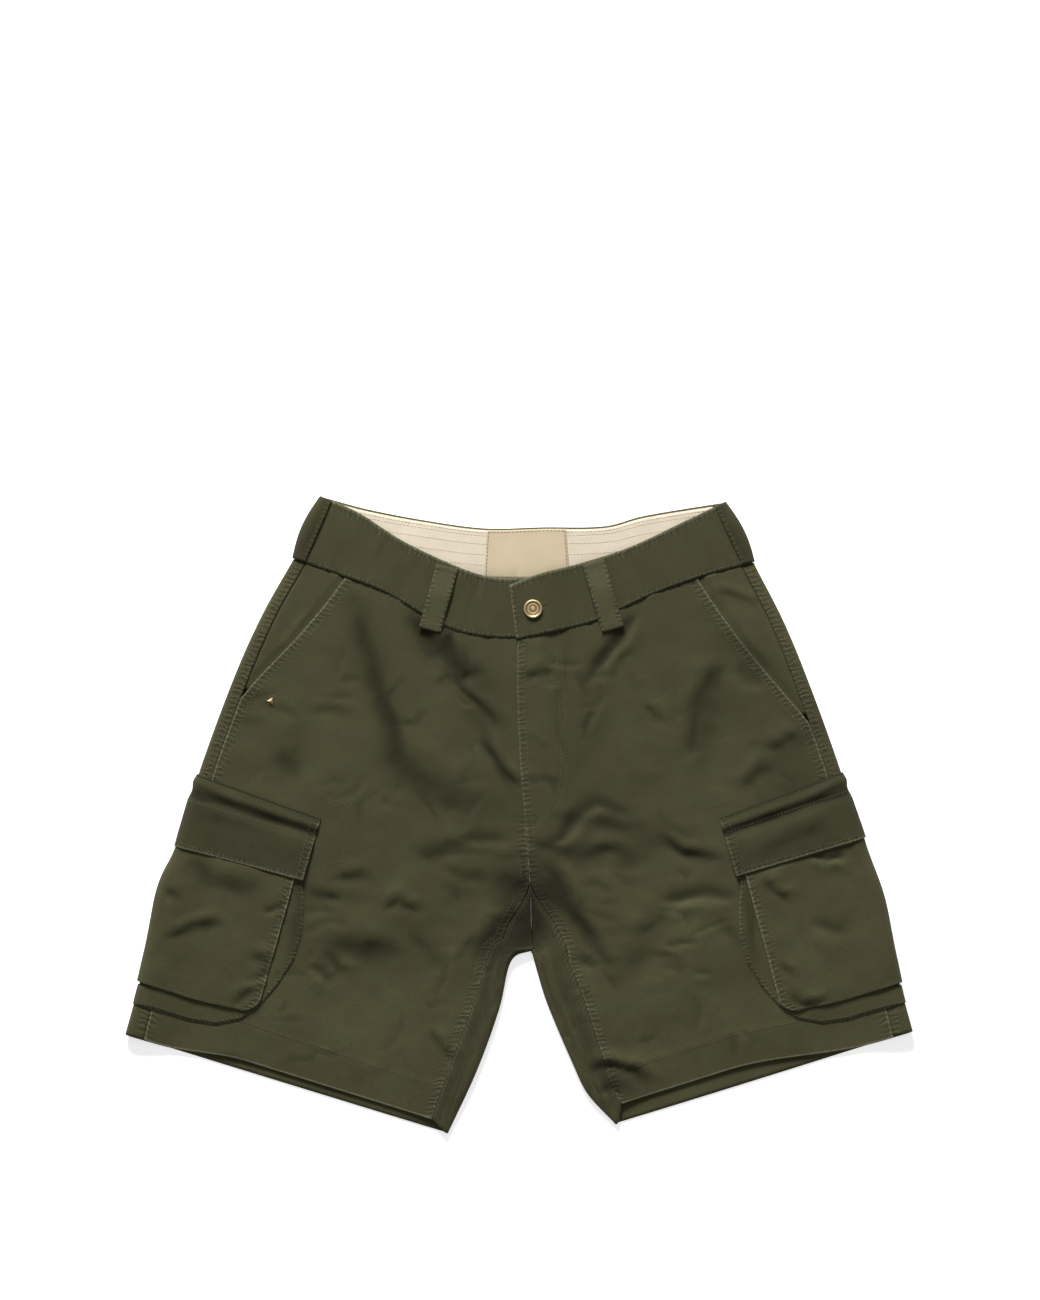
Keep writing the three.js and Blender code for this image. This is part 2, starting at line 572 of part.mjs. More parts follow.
// Waistband. d is the distance from the outer fold; below 0 it goes round the loop and on under.
const BAND_RADIUS = (BAND_MIDDLE - BACK_BAND / 2) / 2;
const BAND_ARC = Math.PI * BAND_RADIUS;
const BAND_UNDER = 12;
function bandPlan(band, x, v) {
  const at = (name) => through(BAND_SECTIONS[band], 'seamX', name, x);
  return new THREE.Vector2(lerp(x, at('edgeX'), v), lerp(at('seamY'), at('edgeY'), v));
}
function bandRing(side, d, v, out = 0) {
  const foldX = BAND_SECTIONS[side][0].seamX;
  const across = (w) => foldX - facing[side] * w;
  if (d >= 0) {
    const p = bandPlan(side, across(BAND_RADIUS + d), v);
    return new THREE.Vector3(p.x, p.y, BAND_MIDDLE + out);
  }
  if (d > -BAND_ARC) {
    const turn = -d / BAND_RADIUS;
    const p = bandPlan(side, across(BAND_RADIUS - (BAND_RADIUS + out) * Math.sin(turn)), v);
    return new THREE.Vector3(p.x, p.y, BACK_BAND / 2 + BAND_RADIUS + (BAND_RADIUS + out) * Math.cos(turn));
  }
  const p = bandPlan('back', across(BAND_RADIUS - BAND_ARC - d), v);
  return new THREE.Vector3(p.x, p.y, BACK_BAND / 2 - out);
}

function frontBand(side) {
  const endX = side === 'left' ? 16 : BAND_SECTIONS.right.at(-1).seamX;
  const reach = Math.abs(endX - BAND_SECTIONS[side][0].seamX) - BAND_RADIUS;
  const stops = [];
  for (let k = 0; k < 16; k++) stops.push(reach * (1 - k / 16));
  for (let k = 0; k < 6; k++) stops.push(-BAND_ARC * k / 6);
  stops.push(-BAND_ARC, -BAND_ARC - BAND_UNDER + BAND_RADIUS);
  const thick = (d) => lerp(BACK_BAND, BAND, ramp(d, -BAND_ARC, 0));
  return wall(2, stops.length - 1, (i, j) => thick(stops[j]), (i, j) => {
    const p = bandRing(side, stops[j], i / 2);
    if (side === 'right') p.z += TAB_RISE * (1 - ramp(p.x, TAB_REACH - 8, TAB_REACH + 14));
    return p;
  });
}

function backLayer(fromX, toX, low, high, middle, thickness, columns) {
  return wall(1, columns, thickness, (i, j) => {
    const p = bandPlan('back', lerp(fromX, toX, j / columns), lerp(low, high, i));
    return new THREE.Vector3(p.x, p.y, middle);
  });
}

function frontLoop(side) {
  const l = LOOPS[side];
  const low = new THREE.Vector2(l.lowX, l.lowY);
  const run = new THREE.Vector2(l.highX, l.highY).sub(low);
  const beside = new THREE.Vector2(run.y, -run.x).normalize();
  const base = BAND_MIDDLE + BAND / 2 + SEAM_GAP + LOOP / 2;
  const rows = 9;
  return wall(rows, 1, LOOP, (i, j) => {
    const v = i / rows;
    const p = low.clone().addScaledVector(run, v).addScaledVector(beside, (j - 0.5) * l.width);
    const arch = LOOP_ARCH * Math.sin(Math.PI * ramp(v, 0.1, 1));
    return new THREE.Vector3(p.x, p.y, base - 0.4 * (1 - ramp(v, 0, 0.11)) + arch);
  });
}

// The loop at each side seam is wrapped round the waistband's fold
function sideLoop(side) {
  const rows = 7;
  const stops = [9.4, 4.7, 0, -1.5, -3, -4.2, -4.95];
  const out = BAND / 2 + SEAM_GAP + LOOP / 2;
  return wall(rows, stops.length - 1, LOOP, (i, j) => {
    const v = lerp(0.01, 1, i / rows);
    return bandRing(side, stops[j], v, out + 1.2 * Math.sin(Math.PI * i / rows) * (stops[j] > -3 ? 1 : 0.3));
  });
}

// Profile of radii and heights turned round Z, in as many flat sides as asked
function turned(profile, x, y, z, sides, angle = 0) {
  const geometry = new THREE.LatheGeometry(profile.map(([radius, h]) => new THREE.Vector2(radius, h)), sides);
  geometry.rotateX(Math.PI / 2).rotateZ(angle).translate(x, y, z);
  return geometry;
}

// Row and distance across of a point in plan
function locate(side, x, y) {
  let low = 0;
  let high = HEM;
  const off = (t) => {
    const { fold, across } = section(side, t);
    return ((x - fold.x) * across.y - (y - fold.y) * across.x) * facing[side];
  };
  for (let k = 0; k < 40; k++) {
    const t = (low + high) / 2;
    if (off(t) * off(0) > 0) low = t;
    else high = t;
  }
  const { fold, across } = section(side, low);
  return { t: low, w: (x - fold.x) * across.x + (y - fold.y) * across.y };
}

for (const side of ['left', 'right']) {
  add(`front_${side}`, front(side), OLIVE);
  add(`back_${side}`, back(side), OLIVE);
  add(`hip_pocket_facing_${side}`, hipFacing(side), OLIVE);
  add(`cargo_pocket_${side}`, cargoPocket(side), OLIVE);
  add(`cargo_gusset_${side}`, cargoGusset(side), OLIVE);
  add(`cargo_flap_${side}`, cargoFlap(side), OLIVE);
  add(`waistband_${side}`, frontBand(side), OLIVE);
  add(`belt_loop_front_${side}`, frontLoop(side), OLIVE);
  add(`belt_loop_side_${side}`, sideLoop(side), OLIVE);
}
const backFrom = BAND_SECTIONS.left[0].seamX + BAND_UNDER + SEAM_GAP;
const backTo = BAND_SECTIONS.right[0].seamX - BAND_UNDER - SEAM_GAP;
const liningMiddle = BACK_BAND + SEAM_GAP + LINING / 2;
add('waistband_back', backLayer(backFrom, backTo, 0, 1, BACK_BAND / 2, BACK_BAND, 16), OLIVE);
add('waistband_lining', backLayer(backFrom, backTo, 0.02, 0.965, liningMiddle, LINING, 16), CREAM);
add('waist_label', backLayer(LABEL_PLACE.fromX, LABEL_PLACE.toX, LABEL_PLACE.low, LABEL_PLACE.high,
  liningMiddle + LINING / 2 + SEAM_GAP + LABEL / 2, LABEL, 4), LABEL_CREAM);

const tabTop = BAND_MIDDLE + BAND / 2 + TAB_RISE;
const r = BUTTON.radius;
const buttonProfile = [
  [0, 0], [r - 1, 0], [r, 0.7], [r, 1.5], [r - 0.7, 2.2], [r - 2, 2.4], [r - 3, 2], [0, 1.7],
];
add('waist_button', turned(buttonProfile, BUTTON.x, BUTTON.y, tabTop + SEAM_GAP, 28), METAL, 0.45, 1);
const rivetAt = locate('left', RIVET.x, RIVET.y);
const rivetZ = frontHeight('left', rivetAt.t, rivetAt.w) + TWILL / 2 + SEAM_GAP + 0.4;
const rivetProfile = [[0, 0], [RIVET.radius, 0], [RIVET.radius, 0.4], [0, 1.9]];
add('pocket_rivet', turned(rivetProfile, RIVET.x, RIVET.y, rivetZ, 3, -Math.PI / 2), METAL, 0.45, 1);

// The middle of the box's underside is the origin
const box = new THREE.Box3().setFromObject(shorts);
const middle = box.getCenter(new THREE.Vector3());
shorts.position.set(-middle.x, -middle.y, -box.min.z);
shorts.updateMatrixWorld(true);
export default shorts;
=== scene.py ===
"""Cargo shorts in washed olive twill, laid flat with the front up: the looks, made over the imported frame."""
import functools
import math

import bpy
import numpy as np
from bpy.props import FloatProperty, FloatVectorProperty, IntProperty, PointerProperty
from bpy.types import Operator, Panel, PropertyGroup
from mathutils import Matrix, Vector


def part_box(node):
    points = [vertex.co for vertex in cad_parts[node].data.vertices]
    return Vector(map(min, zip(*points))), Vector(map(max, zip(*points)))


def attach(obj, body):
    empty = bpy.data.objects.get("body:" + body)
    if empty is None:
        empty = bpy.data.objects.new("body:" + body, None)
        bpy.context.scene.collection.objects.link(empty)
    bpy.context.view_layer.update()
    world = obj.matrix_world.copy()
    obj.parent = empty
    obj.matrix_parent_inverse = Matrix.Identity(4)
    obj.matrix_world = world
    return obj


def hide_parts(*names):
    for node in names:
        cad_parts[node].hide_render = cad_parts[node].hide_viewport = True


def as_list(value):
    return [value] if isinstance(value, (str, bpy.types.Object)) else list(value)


bl_info = {
    "name": "Cargo shorts laid flat",
    "version": (1, 0, 0),
    "blender": (4, 5, 0),
    "location": "View3D > Sidebar > Shorts",
    "description": "Cloth, stitching and metal of a pair of cargo shorts laid flat",
    "category": "Add Mesh",
}

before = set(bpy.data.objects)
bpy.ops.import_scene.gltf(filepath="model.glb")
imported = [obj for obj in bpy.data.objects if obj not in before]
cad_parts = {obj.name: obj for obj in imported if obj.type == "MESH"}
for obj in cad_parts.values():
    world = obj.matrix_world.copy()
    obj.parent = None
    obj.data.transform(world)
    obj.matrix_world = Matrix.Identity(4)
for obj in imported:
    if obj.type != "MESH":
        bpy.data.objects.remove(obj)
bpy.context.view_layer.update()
MM = 0.001
TURN = 2 * math.pi
SIDES = ("left", "right")
FACING = {"left": -1.0, "right": 1.0}

# Sizes of the cloth and of the way it lies, in millimetres, as in the part's source
TWILL = 1.0
BAND = 2.2
BACK_BAND = 1.2
LINING = 1.0
LOOP = 1.5
LABEL = 1.0
SEAM_GAP = 0.3
CROTCH_GAP = -1.2
LAYER = TWILL + 0.35
RIM = 0.2  # how far a wall's rounded edge stands out, in half thicknesses
PANEL_GAP = 4.5
FOLD_RADIUS = 4.5
FOLD_RISE = 2 * FOLD_RADIUS - PANEL_GAP
LOOP_ARC = math.pi * FOLD_RADIUS
FOLD_REACH = 24
INNER_RISE = 3.0
INNER_REACH = 20
WAIST_RISE = 0.3
ROW_PITCH = 62
HEM_EXTRA = 0.8
HEM_DEPTH = 33
LEG_LENGTH = 480
FRONT_WIDTH = 240
FACING_WIDTH = 90
UNDER_WIDTH = 280
STRIP_WIDTH = 8.5

# Section rows of each half: t, outer fold x and y, end x and y, side seam and inseam
SECTIONS = {
    "left": [
        (0, -202, 229, -1, 157, 11, 0), (1, -229, 181, -1, 102, 11, 0), (2, -254, 126, 2, 38, 12, 0),
        (3, -283, 48, 10, -59, 12, 0), (4, -301, -12, 12, -122, 13, 27), (5, -307, -34, -7, -132, 14, 20),
        (6, -318, -74, -18, -176, 15, 23), (7, -334, -130, -38, -231, 15, 24),
        (8, -353, -198, -64, -287, 17, 17),
    ],
    "right": [
        (0, 211, 227, -1, 157, 11, 0), (1, 239, 171, -1, 102, 11, 0), (2, 263, 112, 2, 38, 12, 0),
        (3, 287, 45, 10, -59, 12, 0), (4, 305, -15, 12, -122, 13, 29), (5, 311, -37, 18, -144, 14, 30),
        (6, 323, -80, 27, -172, 15, 32), (7, 337, -133, 50, -226, 16, 27), (7.5, 345, -163, 63, -252, 17, 22),
        (8, 354, -195, 88, -279, 18, 14),
    ],
}
# Rows of the crotch at the seam and at the fold, and of the hem; cross-lines of the panels
CROTCH_POINT = 3.0
CROTCH_FOLD = 4.0
HEM = 8.0
LINES = 28
CROTCH_LINE = 13
WAIST_UNDER = 0.93  # rows by which the seat rises under the waistband at the centre
HEM_SHORT = {"left": (8, 0.35), "right": (15, 0.6)}

# Cross-lines of the waistband: seam x and y, top edge x and y
BAND_SECTIONS = {
    "left": [(-201, 229, -176, 285), (-166, 217, -144, 271), (-121, 200, -103, 245), (-64, 168, -46, 219),
             (-22, 159, -14, 212), (20, 160, 26, 214)],
    "right": [(210, 226, 184, 280), (166, 214, 147, 262), (119, 197, 100, 240), (70, 174, 54, 225),
              (36, 165, 22, 217), (-2, 157, -8, 206)],
    "back": [(-201, 229, -176, 285), (-150, 222, -135, 274), (-92, 216, -83, 264), (-33, 210, -30, 257),
             (24, 209, 22, 258), (84, 212, 78, 259), (124, 217, 112, 268), (210, 226, 184, 280)],
}
BAND_MIDDLE = 5.4
BAND_RADIUS = (BAND_MIDDLE - BACK_BAND / 2) / 2
BAND_ARC = math.pi * BAND_RADIUS
BAND_UNDER = 12
TAB_RISE = BAND + 0.4
TAB_REACH = 34

# Hip pockets: distance of the mouth from the fold at the waist, and the row where it ends
HIP_POCKET = {"left": (49, 2.25), "right": (53, 2.4)}
MOUTH_BOW = 7.5
FACING_UNDER = 14
FLY_END = 2.75
FLY_UNDER = 14

# Cargo pockets: rows of the flap's seam and ends, the pocket's lower edge and the bellows' seam
CARGO = {"left": (3.18, 4.81, 4.42, 7.31, 7.6), "right": (3.12, 4.22, 4.02, 7.31, 7.6)}
POCKET_BELOW_FLAP = 0.45
POCKET_REACH = 104
FLAP_REACH = 112
POCKET_UNDER = 72
FLAP_UNDER = 76
# How far the pocket's face lies out, over the distance from the fold's loop
POCKET_LOFT = [(-80, LAYER), (-20, LAYER), (-14.2, LAYER), (-11.5, LAYER + 0.1), (-7, 3.6), (-1, 4.6),
               (35, 4.3), (75, 4.7), (98, 4.0), (106, 3.5)]
POCKET_FILL = {  # row: share of the loft on the face, and round the fold of each leg
    "t": (3.4, 4.0, 4.5, 5.1, 5.6, 6.6, 7.1, 7.4),
    "face": (0, 0.62, 0.78, 0.9, 1, 1, 0.8, 0.35),
    "left": (0, 0.1, 0.1, 0.25, 0.9, 1, 0.85, 0.5),
    "right": (0, 0.75, 0.85, 0.95, 1, 1, 0.85, 0.5),
}
# Rows and distance that the pocket's lower inner corner draws in, the radius of its bend, and a row's length
POCKET_CORNER = (0.06, 7)
POCKET_BEND = 15
POCKET_ROW = 60
POCKET_BULGE = {"left": 5.0, "right": 3.5}
FLAP_ROLL = {"middle": 7, "width": 4.2, "height": 2.9, "valley": 13, "pocket": 24}
FLAP_DEPTH = 62
FLAP_ROW = 23
FLAP_CELL = 1.5 / 66
# The bellows' edges: row and distance from the fold of the outer one, then of the inner one
GUSSET = [(4.05, 109, 4.05, 101), (4.6, 111, 4.6, 101), (5.2, 117, 5.2, 100), (5.8, 123, 5.8, 100),
          (6.3, 123, 6.25, 100), (6.75, 115, 6.6, 100), (7.1, 105, 6.85, 96), (7.38, 91, 7.0, 84),
          (7.54, 72, 7.08, 68), (7.6, 48, 7.12, 48), (7.6, 22, 7.12, 22), (7.6, 6, 7.16, 6)]
GUSSET_UNDER = (7.6, 7.35)
# Distances under the leg where the seat needs a column
SEAT_STOPS = (44, 64, 84, 91, 98)
# Where the pockets' layers lift the cloth under them: rows before, rows after, distances across
BACK_LIFT = ((0.41, 0.1), (0.14, 0.4), (84, 98))
FRONT_LIFT = ((0.9, 0), (0, 1.2), (40, 150))

# Belt loops: low end x and y, high end x and y, width
LOOPS = {"left": (-79.7, 165.5, -64, 222.5, 20), "right": (84.8, 166, 67, 227, 20)}
LOOP_ARCH = 1.9
SIDE_LOOP_ARCH = 3.2
LABEL_PLACE = (-31, 46, 0.06, 0.97)  # from x to x, and shares of the waistband's height
BUTTON = (13, 184.5)
STUD = (-222.7, 101.8)

# The part's box is centred on its origin, so the plan above is moved as the button's node was
_low, _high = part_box("waist_button")
SHIFT = np.array([(_low[0] + _high[0]) / 2 / MM - BUTTON[0], (_low[1] + _high[1]) / 2 / MM - BUTTON[1], 0.0])

# Creases of the front: points in plan, width, trough, ridge, and the side of the ridge (1 left, -1 right)
CREASES = [
    # from the left hip pocket down across the thigh
    ([(-156, 200), (-141, 178), (-138, 146), (-127, 112), (-112, 78), (-108, 50), (-84, 30), (-50, 16)],
     11, 2.6, 1.2, 1),
    ([(-226, 52), (-205, 40), (-190, 30)], 10, 1.4, 0.5, 1),
    # under the left belt loop
    ([(-100, 186), (-90, 166), (-80, 146), (-66, 138)], 8, 2.8, 1.8, 1),
    ([(-66, 176), (-60, 138), (-50, 122), (-26, 132)], 6, 2.8, 1.8, 1),
    ([(-58, 128), (-44, 106), (-24, 86), (-12, 70)], 4.5, 2.2, 1.3, 1),
    ([(-34, 70), (-16, 38), (2, 14)], 4.5, 2.0, 1.2, 1),
    # left of the crotch
    ([(-64, -17), (-34, -22), (-6, -20)], 5, 1.8, 1.1, -1),
    ([(-96, -46), (-70, -36), (-44, -28)], 7, 1.4, 0.9, 1),
    ([(-74, -46), (-50, -60), (-26, -58)], 7, 1.2, 0.6, -1),
    ([(-20, -54), (-8, -66), (10, -64)], 8, 2.6, 1.0, 1),
    ([(-44, -136), (-24, -112), (-4, -96), (12, -98)], 9, 3.2, 1.8, 1),
    # across the left thigh
    ([(-168, -55), (-146, -61), (-126, -57)], 5, 1.5, 0.9, 1),
    ([(-192, -69), (-178, -74), (-156, -76)], 6, 1.5, 0.8, 1),
    ([(-128, -92), (-112, -80), (-94, -88), (-78, -84)], 6, 1.6, 1.0, 1),
    ([(-180, -114), (-150, -122), (-122, -124), (-98, -130)], 9, 2.0, 1.3, 1),
    ([(-174, -118), (-164, -140), (-158, -152)], 7, 1.4, 1.0, 1),
    ([(-190, -138), (-178, -146), (-170, -156)], 6, 1.3, 0.8, -1),
    ([(-110, -108), (-84, -124), (-60, -150)], 10, 1.1, 0.8, 1),
    ([(-80, -190), (-70, -212), (-56, -228)], 7, 1.0, 0.6, 1),
    # from the right belt loop
    ([(108, 182), (84, 146), (62, 118)], 5.5, 3.0, 2.2, 1),
    ([(2, 121), (18, 126), (36, 130)], 5, 1.1, 0.7, 1),
    ([(66, 98), (63, 80), (62, 60)], 5, 1.5, 0.9, 1),
    ([(108, 102), (120, 92), (134, 80)], 5, 1.2, 0.8, 1),
    # the long soft one in the middle of the right front
    ([(190, 138), (172, 118), (160, 92), (156, 60), (157, 40)], 8, 2.2, 1.6, -1),
    ([(196, 140), (206, 124), (222, 118)], 9, 1.4, 0.8, -1),
    ([(222, 54), (240, 64), (256, 74)], 6, 1.8, 1.1, 1),
    ([(196, 20), (212, 34), (232, 44)], 7, 1.2, 0.8, 1),
    # up from the fly's end
    ([(10, -28), (36, -23), (52, -4), (72, 8), (110, -2)], 7.5, 3.2, 2.2, -1),
    ([(124, -12), (150, -35), (172, -38), (192, -38)], 6, 1.9, 1.4, 1),
    ([(48, -40), (80, -32), (106, -42)], 6, 1.5, 1.1, 1),
    ([(118, -78), (166, -72), (200, -76)], 6.5, 2.2, 1.6, -1),
    ([(150, -76), (128, -92), (104, -118)], 9, 1.0, 1.2, -1),
    ([(180, -96), (196, -112), (206, -132)], 8, 1.0, 0.7, 1),
    # down beside the right inseam
    ([(16, -40), (34, -60), (42, -84), (74, -121)], 6, 3.2, 2.0, 1),
    ([(50, -126), (60, -132), (72, -138)], 5, 1.8, 1.2, 1),
    ([(60, -232), (84, -226), (104, -232), (126, -254)], 6, 2.6, 1.8, 1),
    ([(70, -250), (86, -246), (96, -256)], 6, 2.2, 0.8, -1),
    # over the hems
    ([(-150, -232), (-140, -246)], 8, 0.8, 0.6, 1),
    ([(190, -196), (196, -224)], 8, 0.8, 0.7, 1),
]
# Rows of stitches on the front that follow no edge, in plan
FLY_STITCH = [(33, 154), (36, 120), (38, 66), (38.5, 40), (36, 22), (31, 10), (22, -1), (12, -5)]
DOTTED = {
    "left": [(-173, 14), (-156, 9), (-152, 4), (-158, -42), (-176, -46)],
    "right": [(168, 5), (186, 10), (184, -2), (190, -40), (172, -44)],
}
# How far down the creases may go
DEEPEST = {"large": 3.2, "small": 1.3, "facing": 0.8, "flap": 0.3, "pocket": 1.9}
# Wide rises and hollows: middle x and y, angle, length, width, height
BROAD = [
    (-235, 20, 60, 40, 24, -1.0), (-160, 20, 70, 60, 26, 1.1), (-60, 90, 75, 50, 18, 0.9),
    (-130, -95, 20, 60, 26, 1.2), (-60, -150, 60, 60, 26, 1.0), (-90, -205, 15, 60, 22, 0.8),
    (-180, -200, -15, 60, 20, 0.6), (-25, 20, 80, 50, 14, 0.8), (100, 60, 60, 70, 24, 1.2),
    (190, 70, 70, 60, 20, -1.1), (130, -20, 20, 40, 20, 0.9), (70, -60, -50, 60, 18, 1.0),
    (150, -110, 10, 50, 24, 1.2), (110, -180, 60, 60, 30, 1.0), (200, -190, 15, 50, 20, 0.7),
    (40, 90, 85, 60, 12, 0.6), (240, 60, -60, 40, 18, 0.7), (-6, -84, 80, 20, 12, -1.6),
]
# Painted shade, where folds and hollows of the front lie in shadow: middle x and y, angle, length, width,
# strength
SHADES = [
    (12, -71, -25, 30, 19, 1.3), (-10, -112, 32, 26, 15, 1.3), (6, -92, 80, 28, 17, 1.15),
    (52, -92, -52, 34, 7, 0.7), (-76, 163, 110, 26, 13, 0.9), (-56, 138, -58, 26, 10, 0.85),
    (-128, 120, 107, 66, 11, 0.4), (-78, 22, -28, 34, 12, 0.5), (79, 146, 57, 30, 7, 0.85),
    (172, 92, 80, 50, 9, 0.35), (205, 146, -40, 34, 9, 0.35), (245, 60, 35, 34, 7, 0.45),
    (28, -29, -5, 20, 4, 0.85), (52, -36, -8, 22, 5, 0.6), (150, -32, -20, 30, 6, 0.5),
    (-20, 52, -62, 40, 5, 0.45), (-45, -25, 5, 40, 7, 0.4), (-140, -126, -5, 44, 15, 0.4),
    (-170, -70, -5, 40, 8, 0.3), (84, -238, -35, 30, 9, 0.5), (70, -120, -50, 18, 5, 0.6),
    (40, 120, 80, 40, 5, 0.25), (104, -130, 50, 26, 9, 0.45), (208, -100, 95, 32, 6, 0.55),
    (-199, -95, 80, 36, 6, 0.55), (-50, 16, -20, 44, 14, 0.3), (110, -24, 10, 50, 12, 0.3),
    (60, 60, 60, 40, 14, 0.2), (-30, 110, -65, 40, 12, 0.3), (-205, 60, 60, 30, 14, 0.25),
    (180, -150, 40, 40, 12, 0.2), (245, 15, 85, 60, 30, 0.2), (76, -6, -3, 30, 6, 0.9),
    (-44, -62, 25, 30, 10, 0.45), (-88, -96, 0, 34, 10, 0.4), (100, -42, 20, 16, 6, 0.4),
]
POCKET_CREASES = [
    ([(-319, -110), (-292, -104), (-262, -100)], 5, 1.6, 1.2, 1),
    ([(-249, -122), (-226, -131), (-206, -136)], 5, 1.4, 1.2, 1),
    ([(-251, -152), (-226, -142), (-208, -138)], 5, 1.3, 0.8, -1),
    ([(-261, -176), (-242, -160), (-222, -152)], 5, 1.3, 0.9, 1),
    ([(-300, -36), (-276, -62), (-246, -68), (-222, -64)], 10, 1.7, 0.9, 1),
    ([(-230, -90), (-206, -74)], 5, 1.3, 0.7, -1),
    ([(-320, -60), (-300, -76)], 6, 1.0, 0.7, 1),
    ([(214, -56), (230, -68), (250, -82)], 5, 1.5, 1.2, 1),
    ([(258, -38), (276, -42), (296, -38)], 5, 1.2, 1.0, -1),
    ([(238, -160), (258, -170), (284, -166)], 5, 1.4, 1.1, 1),
    ([(230, -132), (246, -150)], 5, 1.1, 0.9, 1),
    ([(262, -96), (300, -112)], 9, 0.9, 0.9, -1),
]
FLAP_CREASES = [
    ([(208, -44), (246, -27), (290, -6)], 9, 0.3, 1.7, 1),
    ([(-300, 4), (-268, -8), (-232, -16)], 10, 0.2, 0.9, 1),
]
FACING_CREASES = [
    ([(172, 199), (190, 196), (216, 178)], 5, 1.2, 1.0, 1),
    ([(-190, 196), (-204, 170), (-214, 150)], 8, 0.7, 0.6, 1),
]


# Small sums
def clamp(x, low=0.0, high=1.0):
    return np.minimum(np.maximum(x, low), high)


def lerp(a, b, f):
    return a + (b - a) * f


def ramp(x, start, stop):
    f = clamp((np.asarray(x, float) - start) / (stop - start))
    return f * f * (3 - 2 * f)


def bell(x):
    return np.exp(-np.square(x))


def unit(v):
    return v / np.maximum(np.linalg.norm(v, axis=-1, keepdims=True), 1e-12)


class Through:
    """Smooth curve through a table's points, with straight ends."""

    def __init__(self, xs, ys):
        order = np.argsort(xs)
        self.x = np.array(xs, float)[order]
        self.y = np.array(ys, float)[order]
        step = np.diff(self.y) / np.diff(self.x)
        inner = (self.y[2:] - self.y[:-2]) / (self.x[2:] - self.x[:-2])
        self.slope = np.concatenate([step[:1], inner, step[-1:]])

    def __call__(self, x):
        x = np.asarray(x, float)
        i = np.clip(np.searchsorted(self.x, x, side="right") - 1, 0, len(self.x) - 2)
        span = self.x[i + 1] - self.x[i]
        f = clamp((x - self.x[i]) / span)
        inside = (
            (1 + 2 * f) * (1 - f) ** 2 * self.y[i] + f * (1 - f) ** 2 * span * self.slope[i]
            + f * f * (3 - 2 * f) * self.y[i + 1] + f * f * (f - 1) * span * self.slope[i + 1]
        )
        beyond = np.minimum(x - self.x[0], 0) * self.slope[0] + np.maximum(x - self.x[-1], 0) * self.slope[-1]
        return inside + beyond


@functools.lru_cache(maxsize=None)
def lattice(seed):
    return np.random.RandomState(seed).uniform(-1, 1, (64, 64))


def soft_noise(x, y, seed):
    """Smooth noise from -1 to 1 with features about one unit across."""
    values = lattice(seed)
    x, y = np.broadcast_arrays(np.asarray(x, float), np.asarray(y, float))
    i, j = np.floor(x).astype(int), np.floor(y).astype(int)
    f, g = x - i, y - j
    f, g = f * f * (3 - 2 * f), g * g * (3 - 2 * g)
    low = lerp(values[i % 64, j % 64], values[(i + 1) % 64, j % 64], f)
    high = lerp(values[i % 64, (j + 1) % 64], values[(i + 1) % 64, (j + 1) % 64], f)
    return lerp(low, high, g)


def crimp(x):
    """Cross-section of a crease: like a bell, but with a sharper middle and slower ends."""
    return np.exp(1 - np.sqrt(1 + np.square(2.2 * x)))


def along_line(x, y, line):
    """For points in plan: signed distance to the left of a line of points, and share of the way along it."""
    runs = np.linalg.norm(np.diff(line, axis=0), axis=1)
    best = np.full(x.shape, 1e9)
    beside = np.zeros(x.shape)
    along = np.zeros(x.shape)
    before = 0.0
    for (ax, ay), (bx, by), run in zip(line[:-1], line[1:], runs):
        dx, dy = (bx - ax) / run, (by - ay) / run
        f = clamp((x - ax) * dx + (y - ay) * dy, 0, run)
        away = np.hypot(x - ax - f * dx, y - ay - f * dy)
        left = np.sign((y - ay) * dx - (x - ax) * dy)
        near = away < best
        best = np.where(near, away, best)
        beside = np.where(near, away * left, beside)
        along = np.where(near, (before + f) / runs.sum(), along)
        before += run
    return beside, along


def strayed(x, y, far, scale, seed):
    """Points in plan, each moved a little, so that nothing runs quite straight."""
    u, v = x / scale, y / scale
    return x + far * soft_noise(u, v, seed), y + far * soft_noise(u, v, seed + 1)


def floored(form, deepest):
    """A form that goes down softly to a greatest depth and no further."""
    return np.where(form < 0, -deepest * np.tanh(-form / deepest), form)


def crease_height(x, y, table, deepest):
    """Sum of the table's soft troughs and ridges at points in plan, never deeper than asked."""
    x, y = np.broadcast_arrays(np.asarray(x, float), np.asarray(y, float))
    x, y = strayed(x, y, 3.5, 24, 51)
    total = np.zeros(x.shape)
    for number, (points, width, trough, ridge, side) in enumerate(table):
        line = np.array(points, float)
        low, high = line.min(0) - 5 * width, line.max(0) + 5 * width
        near = (x > low[0]) & (x < high[0]) & (y > low[1]) & (y < high[1])
        if not near.any():
            continue
        beside, along = along_line(x[near], y[near], line)
        wide = width * (1 + 0.3 * soft_noise(along * 5, 0, 60 + number))
        fade = ramp(along, 0, 0.35) * ramp(1 - along, 0, 0.35)
        fade = fade * (1 + 0.3 * soft_noise(along * 7, 3, 61 + number))
        crest = ridge * bell((beside * side - 1.5 * wide) / (1.1 * wide))
        total[near] += fade * (1.3 * crest - 1.7 * trough * crimp(beside / wide))
    return floored(total, deepest)


